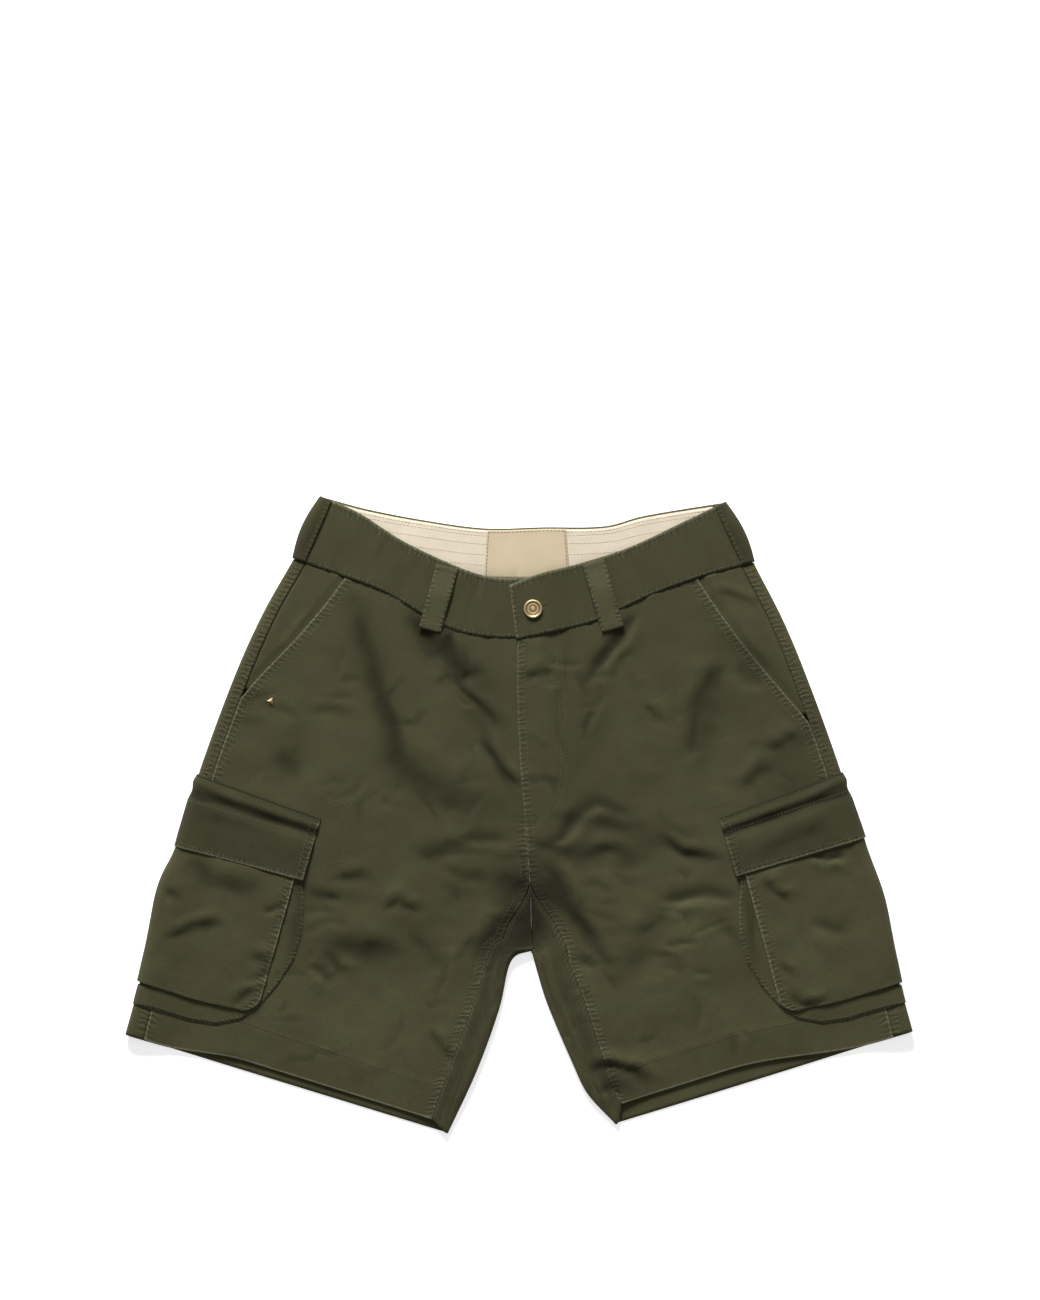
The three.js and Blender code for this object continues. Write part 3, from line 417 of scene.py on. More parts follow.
def small_creases(count, seed):
    """Short shallow creases strewn over the fronts, most of them lying across the legs."""
    dice = np.random.RandomState(seed)
    table = []
    for _ in range(count):
        x, y = dice.uniform(-290, 290), dice.uniform(-230, 140)
        angle = dice.normal(0, 0.55) - 0.35 * np.sign(x)
        long, bend = dice.uniform(17, 56), dice.normal(0, 5.5)
        dx, dy = math.cos(angle), math.sin(angle)
        points = [(x - long / 2 * dx, y - long / 2 * dy), (x - bend * dy, y + bend * dx),
                  (x + long / 2 * dx, y + long / 2 * dy)]
        table.append((points, dice.uniform(2.5, 4.8), dice.uniform(0.27, 0.8), dice.uniform(0.17, 0.5),
                      dice.choice((-1, 1))))
    return table


SMALL_CREASES = small_creases(120, 11)


def spots(x, y, table):
    """Sum of soft oval spots at points in plan: middle x and y, angle, length, width, strength."""
    total = np.zeros(np.broadcast(x, y).shape)
    for cx, cy, angle, long, wide, strength in table:
        turn = math.radians(angle)
        along = (x - cx) * math.cos(turn) + (y - cy) * math.sin(turn)
        beside = (y - cy) * math.cos(turn) - (x - cx) * math.sin(turn)
        total = total + strength * bell(np.hypot(along / long, beside / wide))
    return total


def with_height(plan, height):
    return np.concatenate([plan, height[..., None]], -1)


def curves(rows, *columns):
    """Curves through a table's rows: each of these columns over the first."""
    return [Through(rows[:, 0], rows[:, column]) for column in columns]


def point_on(pair, t):
    """Points in plan from a pair of curves."""
    return np.stack([pair[0](t), pair[1](t)], -1)


class Half:
    """One half of the shorts: where its cloth lies, in plan and in height, in millimetres."""

    def __init__(self, side):
        self.side = side
        rows = np.array(SECTIONS[side], float)
        upper, lower = rows[rows[:, 0] <= CROTCH_FOLD], rows[rows[:, 0] >= CROTCH_FOLD]
        self.fold = curves(rows, 1, 2)
        self.upper_end, self.lower_end = curves(upper, 3, 4), curves(lower, 3, 4)
        self.seam_across, self.inseam_across = curves(rows, 5, 6)
        self.band = {name: curves(np.array(BAND_SECTIONS[name], float), 1, 2, 3) for name in (side, "back")}
        self.mouth_at_waist, self.mouth_end = HIP_POCKET[side]
        self.flap_top, self.flap_outer, self.flap_inner, self.pocket_low, self.gusset_low = CARGO[side]

    def section(self, t):
        """A row's outer fold and inner end in plan, the way across from one to the other, and its length."""
        t = np.asarray(t, float)
        fold = point_on(self.fold, t)
        high = (t <= CROTCH_FOLD)[..., None]
        end = np.where(high, point_on(self.upper_end, t), point_on(self.lower_end, t))
        across = end - fold
        length = np.linalg.norm(across, axis=-1)
        return fold, end, across / length[..., None], length

    def plan(self, t, w):
        fold, _, across, _ = self.section(t)
        return fold + across * np.asarray(w, float)[..., None]

    def waist_dip(self, x, t):
        fold, _, across, _ = self.section(0.0)
        straight = fold[1] + (x - fold[0]) * (across[1] / across[0])
        return (self.band[self.side][0](x) - SEAM_GAP - straight) * np.maximum(0, 1 - np.maximum(t, 0)) ** 2

    def front_plan(self, t, w):
        p = self.plan(t, w)
        p[..., 1] += self.waist_dip(p[..., 0], t)
        return p

    def lift(self, t, w, before, after, edge):
        """How far the cargo pocket's layers push this cloth out."""
        rise = ramp(t, self.flap_top - before[0], self.flap_top - before[1])
        fall = sum(1 - ramp(t, to + after[0], to + after[1]) for to in (self.gusset_low, self.flap_outer))
        return LAYER * rise * fall * (1 - ramp(w, *edge))

    def back_height(self, t, w):
        return TWILL / 2 + self.lift(t, w, *BACK_LIFT)

    def front_height(self, t, w):
        x, y = np.moveaxis(self.front_plan(t, w), -1, 0)
        rise = FOLD_RISE * (0.1 + 0.9 * ramp(t, 0, 1.4)) * bell(np.maximum(0, w - FOLD_RADIUS) / FOLD_REACH)
        inner = ramp(t, 3.7, 4.7) * INNER_RISE * bell((self.section(t)[3] - FOLD_RADIUS - w) / INNER_REACH)
        base = (TWILL / 2 + self.lift(t, w, *FRONT_LIFT) + PANEL_GAP + rise
                + WAIST_RISE * bell(np.maximum(t, 0) / 0.5) + inner)
        pocket_rows = ramp(t, self.flap_top - 0.25, self.flap_top) * (1 - ramp(t, 7.65, 7.9))
        under_pocket = (1 - ramp(w, FLAP_REACH, 140)) * pocket_rows
        calm = ramp(w, FOLD_RADIUS, FOLD_RADIUS + 30) * ramp(t, 0.05, 0.35) * (1 - under_pocket)
        low = ramp(t, 7.2, HEM)  # towards the hem the front sinks nearly onto the back
        return base + self.front_form(x, y) * calm * (1 - 0.9 * low) - 3.0 * low * ramp(w, 8, 50)

    def front_form(self, x, y):
        """Creases and soft forms of the front at points in plan."""
        soft = spots(x, y, BROAD) + 0.6 * soft_noise(x / 43, y / 43, 5) + 0.4 * soft_noise(x / 19, y / 19, 6)
        soft += 0.3 * soft_noise(x / 30, y / 9, 7) * ramp(soft_noise(x / 60, y / 60, 9), -0.2, 0.6)
        soft += 0.14 * soft_noise(x / 11, y / 11, 8)
        large = crease_height(x, y, CREASES, DEEPEST["large"])
        small = crease_height(x, y, SMALL_CREASES, DEEPEST["small"])
        return floored(large + small + soft, DEEPEST["large"])

    def ring(self, t, s, out=0.0):
        """Point on the cloth: s runs over the front from the outer fold's loop, below 0 round and under."""
        t, s, out = np.broadcast_arrays(np.asarray(t, float), np.asarray(s, float), np.asarray(out, float))
        low = self.back_height(t, np.full(t.shape, FOLD_RADIUS))
        radius = (self.front_height(t, np.full(t.shape, FOLD_RADIUS)) - low) / 2
        w = FOLD_RADIUS + s
        over_it = with_height(self.front_plan(t, w), self.front_height(t, w) + out)
        turn = math.pi * clamp(-s / LOOP_ARC)
        round_it = self.plan(t, FOLD_RADIUS - (FOLD_RADIUS + out) * np.sin(turn))
        round_it[..., 1] += self.waist_dip(round_it[..., 0], t)
        round_it = with_height(round_it, low + radius + (radius + out) * np.cos(turn))
        w = FOLD_RADIUS - LOOP_ARC - s
        under_it = with_height(self.plan(t, w), self.back_height(t, w) - out)
        behind = np.where((s > -LOOP_ARC)[..., None], round_it, under_it)
        return np.where((s >= 0)[..., None], over_it, behind)

    def seam_s(self, t):
        return self.seam_across(t) - FOLD_RADIUS

    def inseam_in(self, t):
        return np.where(t <= CROTCH_POINT, 0, np.maximum(self.inseam_across(t), 0))

    def mouth_s(self, t):
        f = np.asarray(t, float) / self.mouth_end
        bow = MOUTH_BOW * np.sin(math.pi * clamp(f))
        return lerp(self.mouth_at_waist, float(self.seam_across(2.0)), f) + bow - FOLD_RADIUS

    def front_t(self, line, u):
        t = line_t(line)
        by, reached = HEM_SHORT[self.side]
        cut = by / ROW_PITCH * ramp(u, 0.05, reached) * np.maximum(0, (t - 6) / 2)
        at_seam = np.where(line <= CROTCH_LINE, CROTCH_POINT * line / CROTCH_LINE,
                           t - np.maximum(0, 1 - (t - CROTCH_FOLD) / 1.5))
        return lerp(t, at_seam, u) - cut

    def pocket_out(self, t, s):
        t = clamp(t, 3.4, 7.4)
        face = clamp(Through(POCKET_FILL["t"], POCKET_FILL["face"])(t))
        fold = clamp(Through(POCKET_FILL["t"], POCKET_FILL[self.side])(t))
        loft = Through(*zip(*POCKET_LOFT))(clamp(s, -80, 106))
        return lerp(LAYER, loft, lerp(fold, face, ramp(s, 5, 55)))

    def band_plan(self, band, x, v):
        seam_y, edge_x, edge_y = self.band[band]
        return np.stack([lerp(x, edge_x(x), v), lerp(seam_y(x), edge_y(x), v)], -1)

    def band_ring(self, d, v, out=0.0):
        """Point on the front waistband, d from its outer fold's loop; below 0 it goes round and under."""
        d, v, out = np.broadcast_arrays(np.asarray(d, float), np.asarray(v, float), np.asarray(out, float))
        fold_x = BAND_SECTIONS[self.side][0][0]
        turn = clamp(-d / BAND_RADIUS, 0, math.pi)
        across = np.where(d >= 0, BAND_RADIUS + d, BAND_RADIUS - (BAND_RADIUS + out) * np.sin(turn))
        p = self.band_plan(self.side, fold_x - FACING[self.side] * across, v)
        round_z = BACK_BAND / 2 + BAND_RADIUS + (BAND_RADIUS + out) * np.cos(turn)
        z = np.where(d >= 0, BAND_MIDDLE + out, round_z)
        under = self.band_plan("back", fold_x - FACING[self.side] * (BAND_RADIUS - BAND_ARC - d), v)
        below = d <= -BAND_ARC
        p = np.where(below[..., None], under, p)
        return with_height(p, np.where(below, BACK_BAND / 2 - out, z))


def line_t(line):
    line = np.asarray(line, float)
    return np.where(line <= CROTCH_LINE, CROTCH_FOLD * line / CROTCH_LINE,
                    lerp(CROTCH_FOLD, HEM, (line - CROTCH_LINE) / (LINES - CROTCH_LINE)))


HALVES = {side: Half(side) for side in SIDES}


# Meshes
def new_mesh_object(name, points, faces, smooth=True):
    mesh = bpy.data.meshes.new(name)
    mesh.from_pydata(((np.asarray(points) + SHIFT) * MM).tolist(), [], [list(map(int, f)) for f in faces])
    mesh.validate()
    if smooth:
        mesh.shade_smooth()
    thing = bpy.data.objects.new(name, mesh)
    bpy.context.scene.collection.objects.link(thing)
    return thing


class Shell:
    """A wall of cloth on a grid of points: its two faces, a rounded rim, and what is painted on it."""

    def __init__(self, middle, thickness, keep=None):
        rows, columns = middle.shape[:2]
        index = np.arange(rows * columns).reshape(rows, columns)
        cells = np.stack([index[:-1, :-1], index[1:, :-1], index[1:, 1:], index[:-1, 1:]], -1).reshape(-1, 4)
        if keep is not None:
            cells = cells[keep.reshape(-1)]
        self.used, flat = np.unique(cells, return_inverse=True)
        self.cells = flat.reshape(-1, 4)
        self.middle = middle.reshape(-1, 3)[self.used]
        self.half = np.broadcast_to(thickness, (rows, columns)).reshape(-1)[self.used] / 2
        a, b, c, d = (self.middle[self.cells[:, k]] for k in range(4))
        face = np.cross(c - a, d - b)
        self.area = np.linalg.norm(face, axis=1).sum() / 2
        self.normal = np.zeros_like(self.middle)
        for k in range(4):
            np.add.at(self.normal, self.cells[:, k], face)
        self.normal = unit(self.normal)

    def rim(self):
        frm = self.cells.reshape(-1)
        to = np.roll(self.cells, -1, axis=1).reshape(-1)
        count = len(self.middle)
        edge = ~np.isin(frm * count + to, to * count + frm)
        centre = np.repeat(self.middle[self.cells].mean(1), 4, axis=0)[edge]
        return frm[edge], to[edge], centre

    def build(self, name, uv, paint):
        count = len(self.middle)
        push = self.normal * self.half[:, None]
        frm, to, centre = self.rim()
        out = np.zeros_like(self.middle)
        away = unit((self.middle[frm] + self.middle[to]) / 2 - centre)
        np.add.at(out, frm, away)
        np.add.at(out, to, away)
        out -= self.normal * (out * self.normal).sum(1, keepdims=True)
        edge, place = np.unique(np.concatenate([frm, to]), return_inverse=True)
        bead = self.middle[edge] + unit(out[edge]) * (RIM * self.half[edge])[:, None]
        points = np.concatenate([self.middle + push, self.middle - push, bead])
        bead_from, bead_to = 2 * count + place.reshape(2, -1)
        faces = np.concatenate([
            self.cells,
            self.cells[:, [0, 3, 2, 1]] + count,
            np.stack([to, frm, bead_from, bead_to], -1),
            np.stack([bead_to, bead_from, frm + count, to + count], -1),
        ])
        thing = new_mesh_object(name, points, faces)
        source = self.used[np.concatenate([np.arange(count), np.arange(count), edge])]
        mesh = thing.data
        loops = np.empty(len(mesh.loops), int)
        mesh.loops.foreach_get("vertex_index", loops)
        layer = mesh.uv_layers.new(name="cloth")
        layer.data.foreach_set("uv", (uv.reshape(-1, 2)[source][loops] * MM).reshape(-1))
        for key, values in paint.items():
            data = mesh.attributes.new(key, "FLOAT", "POINT").data
            data.foreach_set("value", values.reshape(-1)[source].astype(float))
        return thing


def edge_distances(middle):
    """Distance over the cloth from each of a grid's four sides: top, bottom, first and last column."""
    down = np.linalg.norm(np.diff(middle, axis=0), axis=2)
    over = np.linalg.norm(np.diff(middle, axis=1), axis=2)
    first_row = np.zeros((1, middle.shape[1]))
    first_column = np.zeros((middle.shape[0], 1))
    top = np.concatenate([first_row, np.cumsum(down, 0)])
    left = np.concatenate([first_column, np.cumsum(over, 1)], 1)
    return {"top": top, "low": top[-1:] - top, "first": left, "last": left[:, -1:] - left}


def widest_and_longest(middle, keep):
    """Greatest length of a grid's cloth along its rows, and along its columns."""
    kept = np.ones((middle.shape[0] - 1, middle.shape[1] - 1)) if keep is None else keep
    over = np.linalg.norm(np.diff(middle, axis=1), axis=2)[:-1] * kept
    down = np.linalg.norm(np.diff(middle, axis=0), axis=2)[:, :-1] * kept
    return float(over.sum(1).max()), float(down.sum(0).max())


def pucker(distance, along, width, height, pitch, seed):
    """Ripples along a sewn edge, most at its middle, gone width away."""
    ripple = soft_noise(along / pitch, distance / (3 * pitch), seed)
    ripple = ripple + 0.5 * soft_noise(along / (0.5 * pitch), 0, seed + 1)
    return height * ripple * bell((distance - 0.45 * width) / (0.6 * width))


class Piece:
    """One cut piece: a surface over rows and columns, and what its edges and seams do to it."""

    PUCKER_PITCH = 4.2

    def __init__(self, name, node, surface, rows, columns, thickness=TWILL, keep=None, worn=None, seams=None,
                 tint=None, ripple=0.3):
        self.node = node
        middle = surface(*np.meshgrid(rows, columns, indexing="ij"))
        flat = np.zeros(middle.shape[:2])
        sides = edge_distances(middle)
        lift, wear, ropes = flat, flat, {"rope_u": flat, "rope_v": flat}
        # Mostly painted shade: the function passed in darkens the cloth where creases, hollows and flaps lie
        # in shadow, and on some pieces towards the waist.
        shade = flat if tint is None else flat + tint(middle[..., 0], middle[..., 1])
        for side, width in (seams or {}).items():
            level = side in ("top", "low")
            along = sides["first" if level else "top"]
            lift = lift + pucker(sides[side], along, width, ripple, self.PUCKER_PITCH, len(name) + len(side))
            key = "rope_u" if level else "rope_v"
            ropes[key] = np.maximum(ropes[key], 1 - ramp(sides[side], width - 2.5, width + 1.5))
            shade = np.maximum(shade, 0.3 * bell(sides[side] / 1.3))
        for side, strength in (worn or {}).items():
            wear = np.maximum(wear, strength * bell(sides[side] / 1.9))
        middle = middle + Shell(middle, TWILL).normal.reshape(middle.shape) * lift[..., None]
        self.size = widest_and_longest(middle, keep)
        shell = Shell(middle, thickness, keep)
        self.area = shell.area
        uv = np.stack([sides["first"], sides["top"]], -1)
        self.object = shell.build(name, uv, {"wear": wear, "shade": shade, **ropes})

    def finish(self, material, slot, rests_on):
        piece = self.object
        piece.data.materials.append(material)
        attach(piece, "root")
        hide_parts(self.node)
        area = self.area * MM * MM
        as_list(rests_on)


def sew(surface, a, b):
    """Points and normals along a line over a surface."""
    step = 1e-3
    here = surface(a, b)
    normal = unit(np.cross(surface(a + step, b) - here, surface(a, b + step) - here))
    return here, normal


# A stitch's cross-sections: place along it, its size, and its rise in thread widths
STITCH = ((-0.5, 0.25, -0.35), (-0.3, 0.95, 0.1), (0.0, 1.0, 0.25), (0.3, 0.95, 0.1), (0.5, 0.25, -0.35))
STITCH_RING = ((1, 0), (0, 0.7), (-1, 0), (0, -0.7))


def ring_faces(rings, sides):
    """Faces between rings of points, each ring the next one's neighbour."""
    return [(p, q, q + sides, p + sides) for ring in range(rings - 1) for k in range(sides)
            for p, q in [(ring * sides + k, ring * sides + (k + 1) % sides)]]


def stitch_faces():
    last = 4 * (len(STITCH) - 1)
    return np.array(ring_faces(len(STITCH), 4) + [(3, 2, 1, 0), (last, last + 1, last + 2, last + 3)])


def stitch_points(line, normal, length, gap, width):
    """Points of every stitch along one run: stitch, cross-section, place round it."""
    run = np.concatenate([[0], np.cumsum(np.linalg.norm(np.diff(line, axis=0), axis=1))])
    count = int(run[-1] / (length + gap))
    centres = (np.arange(count) + 0.5) * run[-1] / max(count, 1)

    def at(x, table):
        return np.stack([np.interp(x, run, table[:, k]) for k in range(3)], -1)

    up = unit(at(centres, normal))
    start, stop = at(centres - length / 2, line), at(centres + length / 2, line)
    side = np.cross(up, unit(stop - start))
    rings = []
    for f, size, rise in STITCH:
        middle = (start + stop) / 2 + (stop - start) * f + up * rise * width
        rings.append(np.stack([middle + side * (x * size * width / 2) + up * (z * size * width / 2)
                               for x, z in STITCH_RING], 1))
    return np.stack(rings, 1).reshape(-1, 3)


def stitch_mesh(name, runs, length, gap, width):
    """Threads of a group of seams, one small arched stitch after another along each run."""
    points = np.concatenate([stitch_points(line, normal, length, gap, width) for line, normal in runs])
    each = 4 * len(STITCH)
    faces = stitch_faces()[None] + (np.arange(len(points) // each) * each)[:, None, None]
    return new_mesh_object(name, points, faces.reshape(-1, 4))


# Finishes
WEAVE_PITCH = 0.0008


class Value:
    """A socket of a material's nodes, and the sums that are done on it."""

    def __init__(self, finish, socket):
        self.finish, self.socket = finish, socket

    def maths(self, operation, *others, clamped=False):
        node = self.finish.node("ShaderNodeMath", {"operation": operation, "use_clamp": clamped},
                                **{str(k): value for k, value in enumerate((self, *others))})
        return Value(self.finish, node.outputs[0])

    def __add__(self, other):
        return self.maths("ADD", other)

    __radd__ = __add__

    def __mul__(self, other):
        return self.maths("MULTIPLY", other)

    __rmul__ = __mul__

    def __sub__(self, other):
        return self.maths("SUBTRACT", other)

    def sine(self):
        return self.maths("SINE")

    def clamped(self):
        return self.maths("ADD", 0.0, clamped=True)


def toned(colour, share=1.0):
    """A colour made lighter or darker."""
    return tuple(share * c for c in colour)


class Finish:
    """One material and the nodes that make it."""

    def __init__(self, name):
        self.material = bpy.data.materials.new(name)
        self.material.use_nodes = True
        self.tree = self.material.node_tree
        self.shader = self.tree.nodes["Principled BSDF"]

    def node(self, kind, settings=None, **sockets):
        node = self.tree.nodes.new(kind)
        for key, value in (settings or {}).items():
            setattr(node, key, value)
        for key, value in sockets.items():
            self.feed(node.inputs[int(key)] if key.isdigit() else node.inputs[key.replace("_", " ")], value)
        return node

    def feed(self, socket, value):
        if isinstance(value, Value):
            self.tree.links.new(value.socket, socket)
        else:
            socket.default_value = value

    def value(self, kind, output, settings=None, **sockets):
        return Value(self, self.node(kind, settings, **sockets).outputs[output])

    def painted(self, name):
        return self.value("ShaderNodeAttribute", "Fac", {"attribute_name": name})

    def noise(self, where, scale, detail=2.0, roughness=0.5):
        return self.value("ShaderNodeTexNoise", "Fac", None, Vector=where, Scale=scale, Detail=detail,
                          Roughness=roughness)

    def mix(self, factor, one, other):
        """Mix of two colours, by a factor that is a Value."""
        node = self.node("ShaderNodeMix", {"data_type": "RGBA"})
        self.feed(node.inputs[0], factor)
        for socket, colour in ((node.inputs[6], one), (node.inputs[7], other)):
            self.feed(socket, colour if isinstance(colour, Value) else (*colour, 1))
        return Value(self, node.outputs[2])

    def place(self):
        return self.value("ShaderNodeTexCoord", "Object")

    def cloth(self):
        return self.value("ShaderNodeUVMap", "UV", {"uv_map": "cloth"})

    def axes(self, vector):
        node = self.node("ShaderNodeSeparateXYZ", None, Vector=vector)
        return Value(self, node.outputs[0]), Value(self, node.outputs[1])

    def set(self, **sockets):
        for key, value in sockets.items():
            self.feed(self.shader.inputs[key.replace("_", " ")], value)

    def bump(self, height, distance, strength=1.0):
        bump = self.node("ShaderNodeBump", None, Height=height, Distance=distance, Strength=strength)
        self.tree.links.new(bump.outputs[0], self.shader.inputs["Normal"])


def made_once(make):
    """Turns a recipe into a function that makes a name's material only the first time."""
    @functools.wraps(make)
    def material(name, *colours):
        if name not in bpy.data.materials:
            make(Finish(name), *colours)
        return bpy.data.materials[name]
    return material


@made_once
def twill_finish(f):
    """Washed cotton twill: diagonal ribs, faded and mottled dye, roped seams, rubbed edges, and painted shade.
    """
    dye = bpy.context.scene.shorts_cloth
    place, cloth = f.place(), f.cloth()
    u, v = f.axes(cloth)
    broad = f.noise(place, 9.0, 3.0, 0.55)
    patch = f.noise(place, 38.0, 4.0, 0.6)
    fleck = f.noise(cloth, 420.0, 3.0, 0.65)
    grain = f.noise(cloth, 1500.0, 2.0, 0.6)
    rope = twill_rope(f, cloth, u, v)
    rib_turns, weft_turns = TURN / (dye.rib_pitch * MM), TURN / (0.62 * dye.rib_pitch * MM)
    rib = ((u + v * 1.15) * rib_turns + fleck * 5.0).sine()
    weft = ((u - v) * weft_turns + grain * 4.0).sine()
    shade = (broad * 0.34 + patch * 0.24 + fleck * 0.26 + grain * 0.16).clamped()
    colour = f.mix((shade * 2.4 - 0.7).clamped(), toned(dye.olive, 0.66), toned(dye.olive, 1.36))
    warm = f.noise(place, 27.0, 3.0, 0.6)
    colour = f.mix((warm * 2.8 - 1.2).clamped() * 0.45, colour, toned(dye.warm))
    colour = f.mix((rib * 0.5 + 0.5) * 0.10, colour, toned(dye.olive, 0.66))
    # Along the seams' puckers the crests are lighter, from rubbed dye and a painted highlight, and the hollows
    # darker, as painted shade.
    colour = f.mix((rope - 0.25).clamped() * 0.2, colour, toned(dye.worn))
    colour = f.mix((rope * -1.0 - 0.2).clamped() * 0.55, colour, toned(dye.olive, 0.42))
    wear = (f.painted("wear") * 1.6 + fleck * 1.1 + rope * 0.15 - 1.05).clamped() * dye.wear
    colour = f.mix(wear, colour, toned(dye.worn))
    # Painted shade: the 'shade' attribute darkens the twill where creases, hollows and flaps lie in shadow,
    # towards the waist, and along sewn edges.
    colour = f.mix((f.painted("shade") * (0.6 + patch * 0.8)).clamped(), colour, toned(dye.olive, 0.3))
    f.set(Base_Color=colour, Roughness=0.85, Sheen_Weight=0.03, Sheen_Roughness=0.5, Specular_IOR_Level=0.1)
    relief = rib * 0.3 + weft * 0.12 + fleck * 1.0 + grain * 0.4 + patch * 2.2 + rope * dye.rope
    f.bump(relief, 0.00022, 1.0)


def twill_rope(f, cloth, u, v):
    """Waves across the painted seams, uneven and in patches."""
    turns = TURN / (bpy.context.scene.shorts_cloth.rope_pitch * MM)
    uneven = f.noise(cloth, 120.0, 2.0, 0.5) * 11.0
    patchy = (f.noise(cloth, 60.0, 2.0, 0.5) * 2.2 - 0.3).clamped()
    across, along = (v * turns + uneven).sine(), (u * turns + uneven).sine()
    return (across * f.painted("rope_v") + along * f.painted("rope_u")) * patchy


@made_once
def lining_finish(f, colour, stain_and_shade):
    """Plain cotton weave with soft stains, and painted shade from the 'shade' attribute."""
    place, cloth = f.place(), f.cloth()
    u, v = f.axes(cloth)
    patch = f.noise(place, 36.0, 4.0, 0.6)
    grain = f.noise(cloth, 1100.0, 2.0, 0.6)
    weave = (u * (TURN / WEAVE_PITCH)).sine() * (v * (TURN / WEAVE_PITCH)).sine()
    base = f.mix((patch * 2.0 - 0.55).clamped() * 0.6, toned(colour), stain_and_shade)
    # Painted shade, darkest along the front waistband's top edge.
    base = f.mix(f.painted("shade") * 0.5, base, toned(stain_and_shade, 0.55))
    f.set(Base_Color=base, Roughness=0.9, Specular_IOR_Level=0.2)
    f.bump(weave * 0.4 + grain * 0.7 + patch * 1.5, 0.0002, 0.8)


@made_once
def thread_finish(f, colour):
    """Twisted thread, faded in places."""
    place = f.place()
    twist = f.noise(place, 900.0, 2.0, 0.5)
    faded = f.noise(place, 24.0, 3.0, 0.6)
    base = f.mix((faded * 2.0 - 0.5).clamped(), toned(colour, 0.75), toned(colour, 1.35))
    f.set(Base_Color=base, Roughness=0.7, Specular_IOR_Level=0.3)
    f.bump(twist, 0.0001, 0.6)


@made_once
def metal_finish(f, colour, dark):
    """Old brass: darker in the hollows and scuffed."""
    place = f.place()
    tarnish = f.noise(place, 420.0, 4.0, 0.6)
    scuff = f.noise(place, 1600.0, 3.0, 0.7)
    base = f.mix((tarnish * 1.6 - 0.45).clamped() * 0.6, toned(colour), toned(dark))
    base = f.mix(f.painted("hollow") * 0.75, base, toned(dark, 0.6))
    f.set(Base_Color=base, Metallic=0.9, Roughness=tarnish * 0.3 + 0.32)
    f.bump(scuff + tarnish * 0.6, 0.00012, 0.7)


# What a user would change
def colour_property(name, description, default):
    return FloatVectorProperty(name=name, description=description, default=default, subtype="COLOR", size=3)


def number_property(name, description, default, low, high):
    return FloatProperty(name=name, description=description, default=default, min=low, max=high)


class ShortsCloth(PropertyGroup):
    olive: colour_property("Olive", "Dye of the twill", (0.0724, 0.0696, 0.0337))
    warm: colour_property("Warm patches", "Browner patches of the dye", (0.067, 0.049, 0.027))
    worn: colour_property("Worn", "Twill where the dye is rubbed off", (0.25, 0.24, 0.15))
    wear: number_property("Wear", "How far edges are rubbed", 0.75, 0, 1)
    rib_pitch: number_property("Rib pitch", "Distance between twill ribs, in millimetres", 0.95, 0.3, 3)
    rope: number_property("Rope", "Height of the puckers along the seams", 1.15, 0, 5)
    rope_pitch: number_property("Rope pitch", "From one pucker to the next, in millimetres", 4.6, 2, 12)
    lining: colour_property("Lining", "Cream cotton inside the waistband", (0.635, 0.555, 0.435))
    label: colour_property("Label", "Woven label, left bare", (0.53, 0.44, 0.30))


class ShortsSewing(PropertyGroup):
    length: number_property("Stitch", "Length of a stitch, in millimetres", 2.7, 1, 6)
    gap: number_property("Gap", "From one stitch to the next, in millimetres", 0.7, 0.1, 3)
    thread: number_property("Thread", "Width of the thread, in millimetres", 0.62, 0.2, 1.5)
    colour: colour_property("Colour", "Colour of the thread", (0.068, 0.065, 0.037))


class ShortsMetal(PropertyGroup):
    brass: colour_property("Brass", "Colour of the button and stud", (0.66, 0.50, 0.26))
    tarnish: colour_property("Tarnish", "Colour in the hollows", (0.17, 0.12, 0.06))
    sides: IntProperty(name="Sides", description="Steps round the button", default=72, min=24, max=160)


class ShortsStage(PropertyGroup):
    floor: colour_property("Floor", "Colour of the floor", (0.93, 0.93, 0.93))
    key: number_property("Key light", "Power of the main light, in watts", 215, 0, 2000)
    fill: number_property("Fill light", "Power of the fill light, in watts", 12, 0, 2000)
    sky: number_property("Sky", "Strength of the light from all round", 0.2, 0, 10)
    glow: number_property("Floor glow", "Light that comes through the floor", 0.6, 0, 10)


PROPERTIES = {"shorts_cloth": ShortsCloth, "shorts_sewing": ShortsSewing, "shorts_metal": ShortsMetal,
              "shorts_stage": ShortsStage}
SEAMS = {}  # the runs of stitches that each group of pieces asks for
THREAD_RISE = 0.05
BUTTONHOLE_THREAD = (0.45, 0.25, 1.1)  # length, gap and width of its stitches
DARK_THREAD = (0.09, 0.08, 0.06)


def add_run(group, line, normal, height):
    SEAMS.setdefault(group, []).append((line + normal * (height + THREAD_RISE), normal))


def add_seam(group, surface, a, b, height=TWILL / 2, steps=220):
    """A row of stitches over a surface, at places that are numbers or functions of the share along it."""
    f = np.linspace(0, 1, steps)
    a, b = (np.zeros(steps) + (place(f) if callable(place) else place) for place in (a, b))
    line, normal = sew(surface, a, b)
    add_run(group, line, np.where(normal[:, 2:3] < -0.2, -normal, normal), height)


def locate(half, x, y):
    """Row and distance across of points in plan."""
    def off(t):
        fold, _, across, _ = half.section(t)
        return (x - fold[..., 0]) * across[..., 1] - (y - fold[..., 1]) * across[..., 0]

    low, high = np.zeros(x.shape), np.full(x.shape, HEM)
    first = off(low)
    for _ in range(30):
        t = (low + high) / 2
        same = off(t) * first > 0
        low, high = np.where(same, t, low), np.where(same, high, t)
    fold, _, across, _ = half.section(low)
    return low, (x - fold[..., 0]) * across[..., 0] + (y - fold[..., 1]) * across[..., 1]


